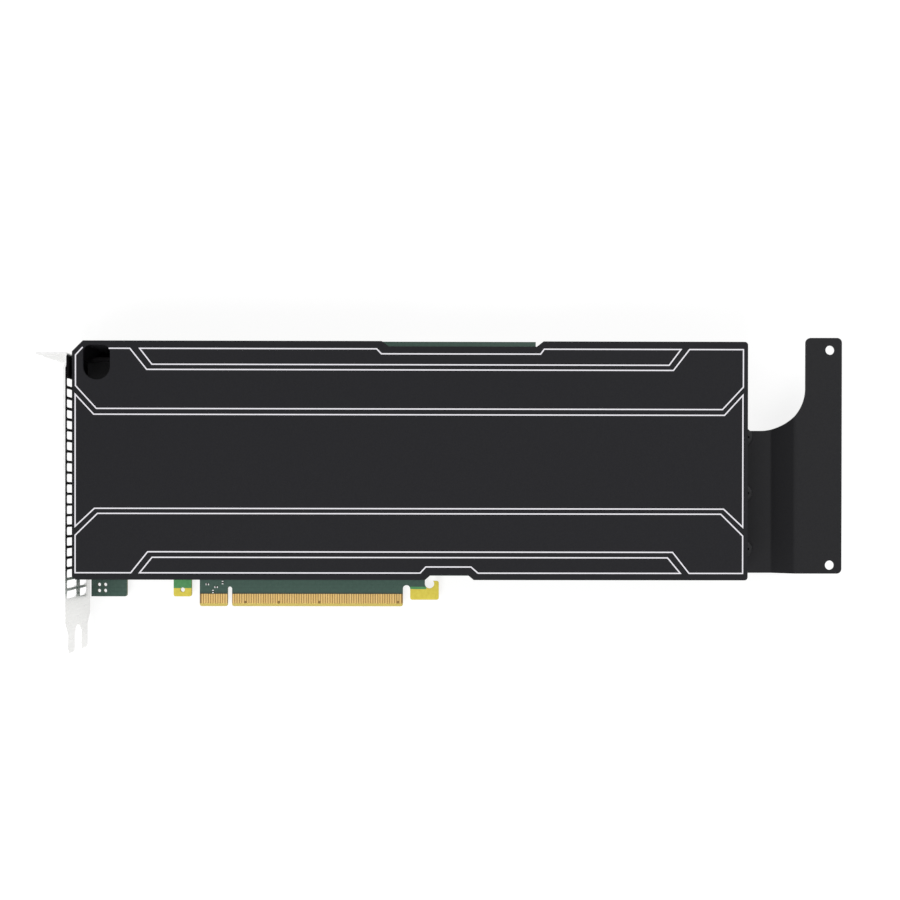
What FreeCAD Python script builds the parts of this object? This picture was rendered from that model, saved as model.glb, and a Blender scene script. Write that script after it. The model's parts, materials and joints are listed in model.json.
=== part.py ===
"""Passive dual-slot accelerator card, as a parametric FreeCAD document.

The card lies on its back.  X runs along the card from the bracket to the tail, Y runs
from the edge contacts to the top edge, Z points out of the component side.  The origin
is the middle of the key notch, on the lower edge of the contacts, on the component face.
"""
import FreeCAD
import Part
import Sketcher
import math
import os
from types import SimpleNamespace

from FreeCAD import Vector

# Driving dimensions in millimetres.  A start, end or column is measured from the bracket's
# inner face, and a foot or height on the board from the lower edge of the contacts.  Gaps,
# insets and margins are distances to the neighbouring piece.
DIMENSIONS = {
    # printed circuit board
    "key_from_bracket": 59.5,
    "board_gap": 1.5,
    "board_reach": 266.7,
    "board_rise": 3.55,
    "board_step_start": 187.8,
    "board_step": 2.2,
    "board_thickness": 1.57,
    "board_foot": 12.9,
    "key_width": 1.9,
    "key_height": 8.25,
    "short_edge": 11.65,
    "long_edge": 71.65,
    "edge_bevel": 1.2,
    "bevel_depth": 0.45,
    "tongue_corner": 0.8,
    "block_end": 16.4,
    "block_foot": 4.1,
    "block_hole_radius": 0.75,
    "block_hole_pitch": 2.54,
    "block_hole_inset": 3.25,
    "block_hole_height": 2.4,
    "tab_start": 35.95,
    "tab_width": 7.5,
    "tab_hole_radius": 0.95,
    "tab_hole_height": 2.8,
    "hook_gap": 3.1,
    "hook_gap_top": 8.9,
    "hook_width": 12.0,
    "hook_foot": 2.8,
    "hook_top": 10.7,
    "hook_slot_radius": 1.95,
    "hook_slot_inset": 3.9,
    "hook_slot_height": 9.5,
    "hook_corner": 0.9,
    # gold contacts
    "contact_pitch": 1.0,
    "contact_width": 0.7,
    "contact_inset": 1.1,
    "contact_top": 5.2,
    "contact_thickness": 0.05,
    "presence_setback": 1.1,
    "short_contacts": 11,
    "long_contacts": 71,
    "one_lane_contacts": 18,
    "four_lane_contacts": 32,
    "eight_lane_contacts": 49,
    # bracket
    "bracket_thickness": 0.86,
    "bracket_drop": 2.37,
    "bracket_head": 103.3,
    "bracket_neck": 2.2,
    "bracket_neck_foot": 98.6,
    "bracket_neck_slope": 1.8,
    "tab_tip": -16.7,
    "tab_blade": 10.19,
    "slot_pitch": 20.32,
    "tab_offset": 4.14,
    "tab_corner": 1.6,
    "tab_arch_top": -6.0,
    "near_taper_foot": -9.0,
    "far_taper_foot": -7.3,
    "taper_height": 4.6,
    "flange_reach": 11.43,
    "flange_notch_radius": 2.21,
    "flange_notch_centre": 6.35,
    "bend_radius": 1.1,
    "vent_rows": 21,
    "vent_pitch": 4.24,
    "vent_slot": 3.25,
    "vent_first": 5.05,
    "vent_crop": 0.6,
    "near_vent_inset": 2.6,
    "near_vent_length": 14.2,
    "far_vent_bottom": 2.3,
    "far_vent_top": 12.6,
    "lug_length": 9.5,
    "lug_width": 9.0,
    "lug_hole": 5.5,
    "lower_lug_gap": 9.5,
    "upper_lug": 84.0,
    # cover
    "card_height": 34.8,
    "shroud_start": 2.5,
    "shroud_end": 270.1,
    "shroud_wall": 1.5,
    "shroud_lift": 0.5,
    "shroud_chamfer": 4.3,
    "shroud_foot_chamfer": 1.3,
    "shroud_edge_break": 0.4,
    "top_recess_start": 124.9,
    "top_recess_end": 189.0,
    "top_recess_depth": 2.1,
    "top_recess_slope": 2.7,
    "foot_recess_start": 142.1,
    "foot_recess_end": 161.4,
    "foot_recess_depth": 1.9,
    "foot_recess_slope": 2.2,
    "oval_start": 6.9,
    "oval_width": 10.7,
    "oval_inset": 1.7,
    "oval_length": 13.8,
    "oval_corner": 3.0,
    # cast base plate
    "base_start": 1.0,
    "base_end": 236.0,
    "base_clearance": 2.2,
    "base_thickness": 2.0,
    "base_lip": 2.5,
    "base_lip_width": 1.6,
    "base_lip_gap": 0.7,
    "base_boss_radius": 3.0,
    "base_first_boss": 30.0,
    "base_last_boss": 230.0,
    "base_boss_rows_inset": 3.5,
    "pad_width": 8.0,
    "pad_hole_height": 4.5,
    "first_side_screw": 50.0,
    "second_side_screw": 105.0,
    "third_side_screw": 215.0,
    "arm_width": 5.0,
    "arm_inlet_gap": 0.7,
    "arm_post_radius": 3.2,
    # processors and memory
    "gpu_height": 58.0,
    "gpu_1": 74.0,
    "gpu_2": 186.0,
    "substrate_size": 42.5,
    "substrate_thickness": 1.8,
    "die_size": 17.2,
    "die_thickness": 0.8,
    "gpu_window": 50.0,
    "memory_length": 14.0,
    "memory_width": 12.0,
    "memory_thickness": 1.2,
    "memory_pitch": 18.0,
    "memory_column": 33.0,
    "memory_row": 32.0,
    "memory_row_half_pitch": 10.0,
    "memory_pad_margin": 1.0,
    "bridge_place": 130.0,
    "bridge_size": 27.0,
    "bridge_thickness": 1.7,
    "bridge_pad_size": 20.0,
    # cooler
    "stack_length": 96.0,
    "stack_width": 86.0,
    "stack_middle": 60.3,
    "stack_play": 2.8,
    "stack_gap": 0.4,
    "stack_floor": 0.8,
    "fin_thickness": 0.4,
    "fin_count": 43,
    "cold_plate_margin": 2.0,
    "cold_plate_thickness": 2.5,
    "cold_plate_gap": 0.5,
    "pedestal_size": 40.0,
    "cooler_screw_x": 26.0,
    "cooler_screw_y": 29.0,
    "cooler_post_radius": 2.5,
    "cooler_post_gap": 0.2,
    "cooler_thread_depth": 5.8,
    "thread_spare": 1.0,
    "spring_thickness": 0.8,
    "spring_arm": 6.0,
    "spring_eye_radius": 3.6,
    "spring_hub_radius": 10.0,
    "insulator_radius": 9.0,
    "insulator_thickness": 0.5,
    # power parts
    "choke_size": 8.0,
    "choke_height": 5.0,
    "choke_column": 17.0,
    "choke_first_row": 32.0,
    "choke_pitch": 11.0,
    "choke_rows": 5,
    "choke_break": 0.6,
    "choke_margin": 2.0,
    "tail_choke_column": 242.0,
    "tail_choke_pitch": 9.0,
    "mosfet_length": 6.0,
    "mosfet_width": 5.0,
    "mosfet_height": 1.0,
    "mosfet_column": 28.0,
    "tail_mosfet_column": 231.5,
    "mosfet_half_pitch": 4.0,
    "can_radius": 4.0,
    "can_height": 9.0,
    "can_foot_height": 1.2,
    "can_foot_margin": 0.12,
    "can_foot_crop": 1.3,
    "tail_can_column": 261.0,
    "upper_can_column": 241.0,
    "upper_can_inset": 6.6,
    "upper_can_count": 3,
    "upper_can_pitch": 9.5,
    "inlet_end": 268.5,
    "inlet_depth": 15.5,
    "inlet_wall_gap": 0.1,
    "inlet_gap": 0.4,
    "inlet_height": 10.2,
    "inlet_pitch": 4.2,
    "eight_way_row_count": 4,
    "six_way_row_count": 3,
    "inlet_side": 2.7,
    "inlet_cavity": 3.5,
    "inlet_cavity_depth": 11.0,
    "inlet_lower_row": 3.0,
    "inlet_latch_height": 1.4,
    "inlet_latch_length": 4.0,
    "pin_size": 1.0,
    "pin_mouth_gap": 2.0,
    "lower_pin_setback": 2.0,
    "upper_pin_setback": 5.0,
    "pin_tail": 1.0,
    # folded tail bracket
    "extender_start": 268.0,
    "extender_end": 311.1,
    "extender_gap": 0.5,
    "extender_length": 95.8,
    "extender_thickness": 1.2,
    "extender_low": 13.0,
    "extender_rise": 6.4,
    "extender_fold": 283.6,
    "extender_fold_end": 292.1,
    "extender_strip": 296.4,
    "extender_cut_margin": 2.7,
    "extender_cut_radius": 17.0,
    "extender_corner": 2.0,
    "extender_bend": 1.5,
    "extender_hole_radius": 1.9,
    "extender_hole_inset": 4.8,
    "extender_hole_spacing": 87.4,
    "extender_screw_place": 272.3,
    "extender_first_screw": 7.8,
    "extender_screw_count": 3,
    # screws
    "small_shank": 1.25,
    "small_head": 2.3,
    "small_head_height": 1.1,
    "side_screw_length": 4.5,
    "spring_head": 2.7,
    "base_head": 2.5,
    "base_head_height": 1.5,
    "tail_shank": 1.5,
    "tail_head": 3.8,
    "tail_head_height": 2.0,
    "thread_play": 0.08,
    "hole_play": 0.35,
    # small parts above the contacts
    "chip_length": 1.4,
    "chip_width": 0.7,
    "chip_height": 0.4,
}

# How far a cutting shape reaches past the surface that it opens.
OVERCUT = 1.0

doc = FreeCAD.newDocument("accelerator_card")
sheet = doc.addObject("Spreadsheet::Sheet", "sizes")
for row, (word, number) in enumerate(DIMENSIONS.items(), start=1):
    sheet.set(f"A{row}", word)
    sheet.set(f"B{row}", str(number))
    sheet.setAlias(f"B{row}", word)
doc.recompute()


class Size:
    """A number together with the spreadsheet expression that gives it."""

    def __init__(self, text, number):
        self.text = text
        self.number = number

    def __add__(self, other):
        return joined(self, "+", other, lambda left, right: left + right)

    def __radd__(self, other):
        return joined(other, "+", self, lambda left, right: left + right)

    def __sub__(self, other):
        return joined(self, "-", other, lambda left, right: left - right)

    def __rsub__(self, other):
        return joined(other, "-", self, lambda left, right: left - right)

    def __mul__(self, other):
        return joined(self, "*", other, lambda left, right: left * right)

    def __rmul__(self, other):
        return joined(other, "*", self, lambda left, right: left * right)

    def __truediv__(self, other):
        return joined(self, "/", other, lambda left, right: left / right)

    def __neg__(self):
        return 0 - self

    def __float__(self):
        return float(self.number)


def size_of(value):
    """Any plain number as a Size."""
    return value if isinstance(value, Size) else Size(repr(float(value)), float(value))


def joined(left, sign, right, work):
    """The Size that a sum, difference, product or quotient gives."""
    left, right = size_of(left), size_of(right)
    return Size(f"({left.text} {sign} {right.text})", work(left.number, right.number))


def root(value):
    """The square root of a Size."""
    return Size(f"sqrt({value.text})", math.sqrt(value.number))


def whole(value):
    """A Size that counts things, as a whole number."""
    return round(value.number)


S = SimpleNamespace(**{word: Size(f"sizes.{word}", float(getattr(sheet, word))) for word in DIMENSIONS})


def along(distance):
    """X of a place given by its distance from the bracket's inner face."""
    return distance - S.key_from_bracket


def vector(x, y, z=0):
    """A FreeCAD vector of the present values of three sizes."""
    return Vector(float(x), float(y), float(z))


# ---------------------------------------------------------------- tools for the solids

def bind(thing, **properties):
    """Drive properties of an object with expressions."""
    for name, value in properties.items():
        thing.setExpression(name, size_of(value).text)


def place(thing, x, y, z, prefix="Placement"):
    """Drive an object's position with expressions."""
    for axis, value in zip("xyz", (x, y, z)):
        thing.setExpression(f"{prefix}.Base.{axis}", size_of(value).text)


def box(name, xs, ys, zs):
    """A Part::Box between two X, two Y and two Z values."""
    solid = doc.addObject("Part::Box", name)
    bind(solid, Length=xs[1] - xs[0], Width=ys[1] - ys[0], Height=zs[1] - zs[0])
    place(solid, xs[0], ys[0], zs[0])
    return solid


def square(name, x, y, side, zs):
    """A square Part::Box about the point x, y."""
    return box(name, (x - side / 2, x + side / 2), (y - side / 2, y + side / 2), zs)


def post(name, x, y, zs, radius):
    """An upright Part::Cylinder."""
    solid = doc.addObject("Part::Cylinder", name)
    bind(solid, Radius=radius, Height=zs[1] - zs[0])
    place(solid, x, y, zs[0])
    return solid


def cross_bore(name, x, ys, z, radius):
    """A Part::Cylinder that lies along Y."""
    solid = doc.addObject("Part::Cylinder", name)
    solid.Placement = FreeCAD.Placement(Vector(), FreeCAD.Rotation(Vector(0, 0, 1), Vector(0, 1, 0)))
    bind(solid, Radius=radius, Height=ys[1] - ys[0])
    place(solid, x, ys[0], z)
    return solid


def fuse(name, solids):
    """One solid made of several."""
    joint = doc.addObject("Part::MultiFuse", name)
    joint.Shapes = solids
    joint.Refine = True
    return joint


def cut(name, base, tools):
    """A solid less several others."""
    result = doc.addObject("Part::Cut", name)
    result.Base = base
    result.Tool = tools[0] if len(tools) == 1 else fuse(name + "_tools", tools)
    result.Refine = True
    return result


def group(name, shapes):
    """Separate like solids under one label."""
    feature = doc.addObject("Part::Feature", name)
    feature.Shape = Part.makeCompound(shapes)
    return feature


# ------------------------------------------------------------- tools for Part Design

def new_body(name, x=0, y=0, z=0):
    body = doc.addObject("PartDesign::Body", name)
    place(body, x, y, z)
    return body


def new_sketch(body, role, offset=0):
    """A sketch on one of the body's own origin planes, moved along its normal."""
    plane = next(feature for feature in body.Origin.OriginFeatures if feature.Role == role)
    sketch = body.newObject("Sketcher::SketchObject", body.Name + "_sketch")
    sketch.AttachmentSupport = [(plane, "")]
    sketch.MapMode = "FlatFace"
    sketch.setExpression("AttachmentOffset.Base.z", size_of(offset).text)
    return sketch


def pin_point(sketch, geometry, end, x, y):
    """Hold a point of a sketch at x, y."""
    for kind, value in (("DistanceX", x), ("DistanceY", y)):
        constraint = sketch.addConstraint(Sketcher.Constraint(kind, geometry, end, float(value)))
        sketch.setExpression(f"Constraints[{constraint}]", size_of(value).text)


def hold_radius(sketch, geometry, radius):
    """Hold the radius of an arc or circle."""
    constraint = sketch.addConstraint(Sketcher.Constraint("Radius", geometry, float(radius)))
    sketch.setExpression(f"Constraints[{constraint}]", size_of(radius).text)


def unit_step(start, end):
    """Direction of an edge, with whole steps where it runs along an axis."""
    step = vector(end[0] - start[0], end[1] - start[1])
    step.normalize()
    return round(step.x, 9), round(step.y, 9)


def outline(sketch, corners):
    """A closed loop through (x, y) corners; (x, y, radius) rounds a right-angled corner."""
    stops = []
    for index, corner in enumerate(corners):
        if len(corner) == 2:
            stops.append((corner, corner, None, None))
            continue
        x, y, radius = corner
        back = unit_step(corner, corners[index - 1])
        ahead = unit_step(corner, corners[(index + 1) % len(corners)])
        entry = (x + radius * back[0], y + radius * back[1])
        leave = (x + radius * ahead[0], y + radius * ahead[1])
        middle = (entry[0] + radius * ahead[0], entry[1] + radius * ahead[1])
        stops.append((entry, leave, middle, radius))
    pieces = []
    for index, (entry, leave, middle, radius) in enumerate(stops):
        if radius is not None:
            pieces.append(add_arc(sketch, entry, leave, middle, radius))
        following = stops[(index + 1) % len(stops)][0]
        if (vector(*leave) - vector(*following)).Length > 1e-6:
            line = sketch.addGeometry(Part.LineSegment(vector(*leave), vector(*following)))
            pin_point(sketch, line, 1, *leave)
            pieces.append((line, 1, 2))
    for (first, _, finish), (second, start, _) in zip(pieces, pieces[1:] + pieces[:1]):
        sketch.addConstraint(Sketcher.Constraint("Coincident", first, finish, second, start))


def add_arc(sketch, entry, leave, middle, radius):
    """A quarter arc from entry to leave; gives its geometry number and its two ends."""
    centre = vector(*middle)
    first = vector(*entry) - centre
    last = vector(*leave) - centre
    forward = first.cross(last).z > 0
    start, stop = (first, last) if forward else (last, first)
    angles = [math.atan2(ray.y, ray.x) for ray in (start, stop)]
    circle = Part.Circle(centre, Vector(0, 0, 1), float(radius))
    arc = sketch.addGeometry(Part.ArcOfCircle(circle, angles[0], angles[1]))
    ends = (1, 2) if forward else (2, 1)
    pin_point(sketch, arc, ends[0], *entry)
    hold_radius(sketch, arc, radius)
    return (arc,) + ends


def rectangle(sketch, xs, ys):
    outline(sketch, [(xs[0], ys[0]), (xs[1], ys[0]), (xs[1], ys[1]), (xs[0], ys[1])])


def cropped_rectangle(sketch, xs, ys, crop):
    """A rectangle with its four corners cut off at 45 degrees."""
    (left, right), (foot, head) = xs, ys
    outline(sketch, [
        (left + crop, foot), (right - crop, foot), (right, foot + crop), (right, head - crop),
        (right - crop, head), (left + crop, head), (left, head - crop), (left, foot + crop),
    ])


def circles(sketch, centres, radius):
    """Equal circles about a list of (x, y) centres."""
    for x, y in centres:
        circle = sketch.addGeometry(Part.Circle(vector(x, y), Vector(0, 0, 1), float(radius)))
        pin_point(sketch, circle, 3, x, y)
        hold_radius(sketch, circle, radius)


def pad(body, sketch, length, backward=False):
    feature = body.newObject("PartDesign::Pad", body.Name + "_pad")
    feature.Profile = sketch
    feature.Reversed = backward
    bind(feature, Length=length)
    return feature


def pocket(body, sketch, depth, forward=False):
    """Cut against the sketch's normal, or along it when forward."""
    feature = body.newObject("PartDesign::Pocket", body.Name + "_pocket")
    feature.Profile = sketch
    feature.Reversed = forward
    bind(feature, Length=depth)
    return feature


def cut_through(body, sketch):
    """Cut right through the body, to both sides of the sketch."""
    feature = body.newObject("PartDesign::Pocket", body.Name + "_through")
    feature.Profile = sketch
    feature.Type = "ThroughAll"
    feature.SideType = "Symmetric"
    return feature


def row_of(body, feature, sketch, axis, count, pitch):
    """Repeat a feature along a sketch axis, and make the row the body's result."""
    pattern = body.newObject("PartDesign::LinearPattern", body.Name + "_row")
    pattern.Originals = [feature]
    pattern.Direction = (sketch, [axis])
    pattern.Mode = "Spacing"
    pattern.setExpression("Occurrences", count.text)
    pattern.setExpression("Offset", size_of(pitch).text)
    body.Tip = pattern
    return pattern


def edge_names(shape, axis, points):
    """Names of the straight edges along an axis that pass through given places."""
    names = []
    for number, edge in enumerate(shape.Edges, start=1):
        if edge.Curve.TypeId != "Part::GeomLine":
            continue
        step = edge.Vertexes[-1].Point - edge.Vertexes[0].Point
        if abs(step.dot(axis)) < step.Length - 1e-6:
            continue
        spot = edge.Vertexes[0].Point
        flat = spot - axis * spot.dot(axis)
        if any((flat - point).Length < 1e-4 for point in points):
            names.append(f"Edge{number}")
    return names


def round_edges(body, axis, points, radius):
    """Round the edges of the body's last feature that run along an axis."""
    doc.recompute()
    base = body.Tip
    feature = body.newObject("PartDesign::Fillet", body.Name + "_fillet")
    feature.Base = (base, edge_names(base.Shape, axis, points))
    bind(feature, Radius=radius)
    body.Tip = feature
    return feature


# ------------------------------------------------------------------- shared places

BOARD_BACK = -S.board_thickness
BRACKET_FACE = along(size_of(0))
BRACKET_LOW = BOARD_BACK - S.bracket_drop
SHORT_START = -(S.key_width / 2 + S.short_edge)
LONG_END = S.key_width / 2 + S.long_edge
HOOK_START = LONG_END + S.hook_gap
HOOK_END = HOOK_START + S.hook_width
HOOK_SLOT = HOOK_END - S.hook_slot_inset
BASE_UNDER = S.base_clearance
BASE_UPPER = S.base_clearance + S.base_thickness
PLATE_LOW = BASE_UPPER + S.cold_plate_gap
PLATE_HIGH = PLATE_LOW + S.cold_plate_thickness
ROOF_UNDER = S.card_height - S.shroud_wall
SHROUD_HALF = S.stack_width / 2 + S.stack_play + S.shroud_wall
SHROUD_FOOT = S.stack_middle - SHROUD_HALF
SHROUD_TOP = S.stack_middle + SHROUD_HALF
BOARD_TOP = SHROUD_TOP + S.board_rise
LOWER_LUG = SHROUD_FOOT + S.shroud_wall + S.lower_lug_gap
BASE_HALF = S.stack_width / 2 - S.cold_plate_margin + S.base_lip_gap + S.base_lip_width
BASE_FOOT = S.stack_middle - BASE_HALF
BASE_TOP = S.stack_middle + BASE_HALF
EXTENDER_FOOT = SHROUD_FOOT + S.shroud_wall + S.extender_gap
EXTENDER_TOP = EXTENDER_FOOT + S.extender_length
STACK_TOP = ROOF_UNDER - S.stack_gap
DIE_TOP = S.substrate_thickness + S.die_thickness
SPRING_UPPER = BOARD_BACK - S.insulator_thickness
SPRING_UNDER = SPRING_UPPER - S.spring_thickness
INLET_BACK = S.inlet_end - S.inlet_depth
INLET_UPPER_ROW = S.inlet_lower_row + S.inlet_pitch
GPUS = [along(S.gpu_1), along(S.gpu_2)]

base_columns = [S.base_first_boss, S.gpu_1, S.bridge_place, S.gpu_2, S.base_last_boss]
base_rows = [BASE_FOOT + S.base_boss_rows_inset, BASE_TOP - S.base_boss_rows_inset]
base_screw_places = [(along(column), level) for column in base_columns for level in base_rows]
cooler_screw_places = [
    (middle + S.cooler_screw_x * side, S.gpu_height + S.cooler_screw_y * up)
    for middle in GPUS for side in (-1, 1) for up in (-1, 1)
]
lug_places = [(along(S.lug_hole), level) for level in (LOWER_LUG, S.upper_lug)]
side_screws = [along(place_x) for place_x in (S.first_side_screw, S.second_side_screw, S.third_side_screw)]


def inlet_span(columns):
    """Width of a power inlet with so many terminals in a row."""
    return S.inlet_pitch * (columns - 1) + S.inlet_side * 2


# name of the inlet, terminals in a row, and Y of its lower side
eight_foot = SHROUD_TOP - S.shroud_wall - S.inlet_wall_gap - inlet_span(S.eight_way_row_count)
six_foot = eight_foot - S.inlet_gap - inlet_span(S.six_way_row_count)
INLETS = {
    "power_inlet_8pin": (S.eight_way_row_count, eight_foot),
    "power_inlet_6pin": (S.six_way_row_count, six_foot),
}
inlet_levels = [S.inlet_lower_row, INLET_UPPER_ROW]
pin_setbacks = [S.lower_pin_setback, S.upper_pin_setback]
pin_places = [
    (along(INLET_BACK - setback), foot + S.inlet_side + S.inlet_pitch * step, level)
    for columns, foot in INLETS.values()
    for level, setback in zip(inlet_levels, pin_setbacks)
    for step in range(whole(columns))
]

# The arms of the base plate are spread from its lower lip to the lower inlet.
first_row = BASE_FOOT + S.extender_first_screw
last_row = six_foot - S.arm_inlet_gap - S.arm_width / 2
row_pitch = (last_row - first_row) / (S.extender_screw_count - 1)
tail_rows = [first_row + row_pitch * step for step in range(whole(S.extender_screw_count))]
between_arms = [(lower + upper) / 2 for lower, upper in zip(tail_rows, tail_rows[1:])]

# X from the key notch, height above the contacts, and whether the part lies along the card
EDGE_CHIPS = [(-9.4, 4.0, True), (-5.7, 2.8, True), (-3.0, 4.75, False), (-7.0, 1.0, False)]


# --------------------------------------------------------------------------- board

def make_pcb():
    """Board with corner block, test tab, keyed contact edge and retention hook."""
    body = new_body("pcb", z=BOARD_BACK)
    sketch = new_sketch(body, "XY_Plane")
    left, right = along(S.board_gap), along(S.board_reach)
    block, tab = along(S.block_end), along(S.tab_start)
    half_key, half_gap = S.key_width / 2, S.hook_gap / 2
    slot_side = HOOK_SLOT - S.hook_slot_radius
    outline(sketch, [
        (left, BOARD_TOP), (left, S.block_foot), (block, S.block_foot, S.hook_corner),
        (block, S.board_foot), (tab, S.board_foot), (tab, S.block_foot, S.hook_corner),
        (tab + S.tab_width, S.block_foot, S.hook_corner), (tab + S.tab_width, S.board_foot),
        (SHORT_START, S.board_foot), (SHORT_START, 0, S.tongue_corner),
        (-half_key, 0, S.tongue_corner),
        (-half_key, S.key_height, half_key), (half_key, S.key_height, half_key),
        (half_key, 0, S.tongue_corner), (LONG_END, 0, S.tongue_corner),
        (LONG_END, S.hook_gap_top, half_gap), (HOOK_START, S.hook_gap_top, half_gap),
        (HOOK_START, S.hook_foot, S.hook_corner), (HOOK_END, S.hook_foot, S.hook_corner),
        (HOOK_END, S.hook_top, S.hook_corner), (HOOK_SLOT + half_key, S.hook_top),
        (HOOK_SLOT + half_key, S.hook_slot_height), (slot_side, S.hook_slot_height),
        (slot_side, S.board_foot), (right, S.board_foot), (right, BOARD_TOP - S.board_step),
        (along(S.board_step_start), BOARD_TOP - S.board_step), (along(S.board_step_start), BOARD_TOP),
    ])
    pad(body, sketch, S.board_thickness)
    slot = new_sketch(body, "XY_Plane")
    circles(slot, [(HOOK_SLOT, S.hook_slot_height)], S.hook_slot_radius)
    cut_through(body, slot)
    bevel_board_edge(body)
    drill_board(body)


def bevel_board_edge(body):
    """Slope both faces of the contact edge towards its lower end."""
    sketch = new_sketch(body, "YZ_Plane")
    outline(sketch, [(0, 0), (S.edge_bevel, 0), (0, S.bevel_depth)])
    top = S.board_thickness
    outline(sketch, [(0, top), (0, top - S.bevel_depth), (S.edge_bevel, top)])
    cut_through(body, sketch)


def drill_board(body):
    """Holes for screws, power pins, the corner block and the test tab."""
    half = S.block_hole_pitch / 2
    block_x = along(S.board_gap + S.block_hole_inset) + half
    block_y = S.block_foot + S.block_hole_height + half
    block_holes = [(block_x + half * side, block_y + half * up) for side in (-1, 1) for up in (-1, 1)]
    tab_hole = (along(S.tab_start) + S.tab_width / 2, S.block_foot + S.tab_hole_height)
    drills = [
        (base_screw_places + cooler_screw_places + lug_places, S.small_shank + S.hole_play),
        (block_holes, S.block_hole_radius),
        ([tab_hole], S.tab_hole_radius),
    ]
    for centres, radius in drills:
        sketch = new_sketch(body, "XY_Plane")
        circles(sketch, centres, radius)
        cut_through(body, sketch)
    pins = new_sketch(body, "XY_Plane")
    half_pin = S.pin_size / 2
    for x, y, _ in pin_places:
        rectangle(pins, (x - half_pin, x + half_pin), (y - half_pin, y + half_pin))
    cut_through(body, pins)


def contact_row(face, presence):
    """Contacts on one face; the presence contacts end higher than the rest."""
    thickness = float(S.contact_thickness)
    width = float(S.contact_width)
    top = float(S.contact_top)
    bottom = face if face >= 0 else face - thickness
    first_short = float(SHORT_START + S.contact_inset)
    first_long = float(S.key_width / 2 + S.contact_inset - S.contact_pitch / 2)
    pitch = float(S.contact_pitch)
    starts = [first_short + pitch * step for step in range(whole(S.short_contacts))]
    starts += [first_long + pitch * step for step in range(whole(S.long_contacts))]
    contacts = []
    for number, middle in enumerate(starts, start=1):
        foot = float(S.edge_bevel) + (float(S.presence_setback) if number in presence else 0.0)
        corner = Vector(middle - width / 2, foot, bottom)
        contacts.append(Part.makeBox(width, top - foot, thickness, corner))
    return contacts


def make_contacts():
    """Contacts on both faces; a presence contact is the last but one of each lane group."""
    all_lanes = S.short_contacts + S.long_contacts
    group_ends = (S.one_lane_contacts, S.four_lane_contacts, S.eight_lane_contacts, all_lanes)
    group("edge_contacts_front", contact_row(0.0, [whole(end) - 1 for end in group_ends]))
    group("edge_contacts_back", contact_row(float(BOARD_BACK), [1]))


# ------------------------------------------------------------------------- bracket

def make_bracket():
    """Vented bracket: one folded sheet with two tabs, a flange and two board lugs."""
    body = new_body("io_bracket", x=BRACKET_FACE)
    make_bracket_sheet(body)
    make_bracket_flange(body)
    make_bracket_lugs(body)
    make_bracket_vents(body)


def make_bracket_sheet(body):
    """The upright sheet with its two tabs; sketch X is the card's Y, sketch Y its Z."""
    sketch = new_sketch(body, "YZ_Plane", -S.bracket_thickness)
    near = BRACKET_LOW + S.tab_offset
    far = near + S.slot_pitch
    arch = (S.slot_pitch - S.tab_blade) / 2
    tip, corner = S.tab_tip, S.tab_corner
    outline(sketch, [
        (S.bracket_head, BRACKET_LOW), (S.bracket_head, S.card_height - S.bracket_neck),
        (S.bracket_neck_foot, S.card_height - S.bracket_neck),
        (S.bracket_neck_foot - S.bracket_neck_slope, S.card_height),
        (S.near_taper_foot + S.taper_height, S.card_height),
        (S.near_taper_foot, far + S.tab_blade),
        (tip, far + S.tab_blade, corner), (tip, far, corner),
        (S.tab_arch_top, far, arch), (S.tab_arch_top, near + S.tab_blade, arch),
        (tip, near + S.tab_blade, corner), (tip, near, corner),
        (S.far_taper_foot, near), (S.far_taper_foot + S.taper_height, BRACKET_LOW),
    ])
    pad(body, sketch, S.bracket_thickness)


def make_bracket_flange(body):
    """The flange at the head, folded outwards, with an open notch for each slot."""
    reach = -(S.bracket_thickness + S.flange_reach)
    low_sheet = S.bracket_head - S.bracket_thickness
    sketch = new_sketch(body, "XY_Plane", BRACKET_LOW)
    rectangle(sketch, (reach, size_of(0)), (low_sheet, S.bracket_head))
    flange_width = S.card_height - S.bracket_neck - BRACKET_LOW
    pad(body, sketch, flange_width)
    depth = -(S.bracket_thickness + S.flange_notch_centre) + S.flange_notch_radius
    radius = S.flange_notch_radius
    for slot_number in range(2):
        middle = BRACKET_LOW + S.tab_offset + S.tab_blade / 2 + S.slot_pitch * slot_number
        notch = new_sketch(body, "XZ_Plane")
        outline(notch, [
            (reach - OVERCUT, middle - radius), (depth, middle - radius, radius),
            (depth, middle + radius, radius), (reach - OVERCUT, middle + radius),
        ])
        cut_through(body, notch)
    head = float(S.bracket_head)
    thickness = float(S.bracket_thickness)
    round_edges(body, Vector(0, 0, 1), [Vector(0, head, 0)], S.bend_radius)
    inner_bend = [Vector(-thickness, head - thickness, 0)]
    round_edges(body, Vector(0, 0, 1), inner_bend, S.bend_radius - S.bracket_thickness)


def make_bracket_lugs(body):
    """Two lugs that lie on the board and take its screws."""
    lugs = new_sketch(body, "XY_Plane")
    for level in (LOWER_LUG, S.upper_lug):
        spread = (level - S.lug_width / 2, level + S.lug_width / 2)
        rectangle(lugs, (-S.bracket_thickness / 2, S.lug_length), spread)
    pad(body, lugs, S.bracket_thickness)
    holes = new_sketch(body, "XY_Plane")
    circles(holes, [(S.lug_hole, LOWER_LUG), (S.lug_hole, S.upper_lug)], S.small_shank + S.thread_play)
    cut_through(body, holes)


def make_bracket_vents(body):
    """Two columns of slots, one pattern."""
    sketch = new_sketch(body, "YZ_Plane")
    slot = (S.vent_first, S.vent_first + S.vent_slot)
    near_top = S.card_height - S.near_vent_inset
    columns = [(near_top - S.near_vent_length, near_top), (S.far_vent_bottom, S.far_vent_top)]
    for column in columns:
        cropped_rectangle(sketch, slot, column, S.vent_crop)
    vents = cut_through(body, sketch)
    row_of(body, vents, sketch, "H_Axis", S.vent_rows, S.vent_pitch)


# --------------------------------------------------------------------------- cover

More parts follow.
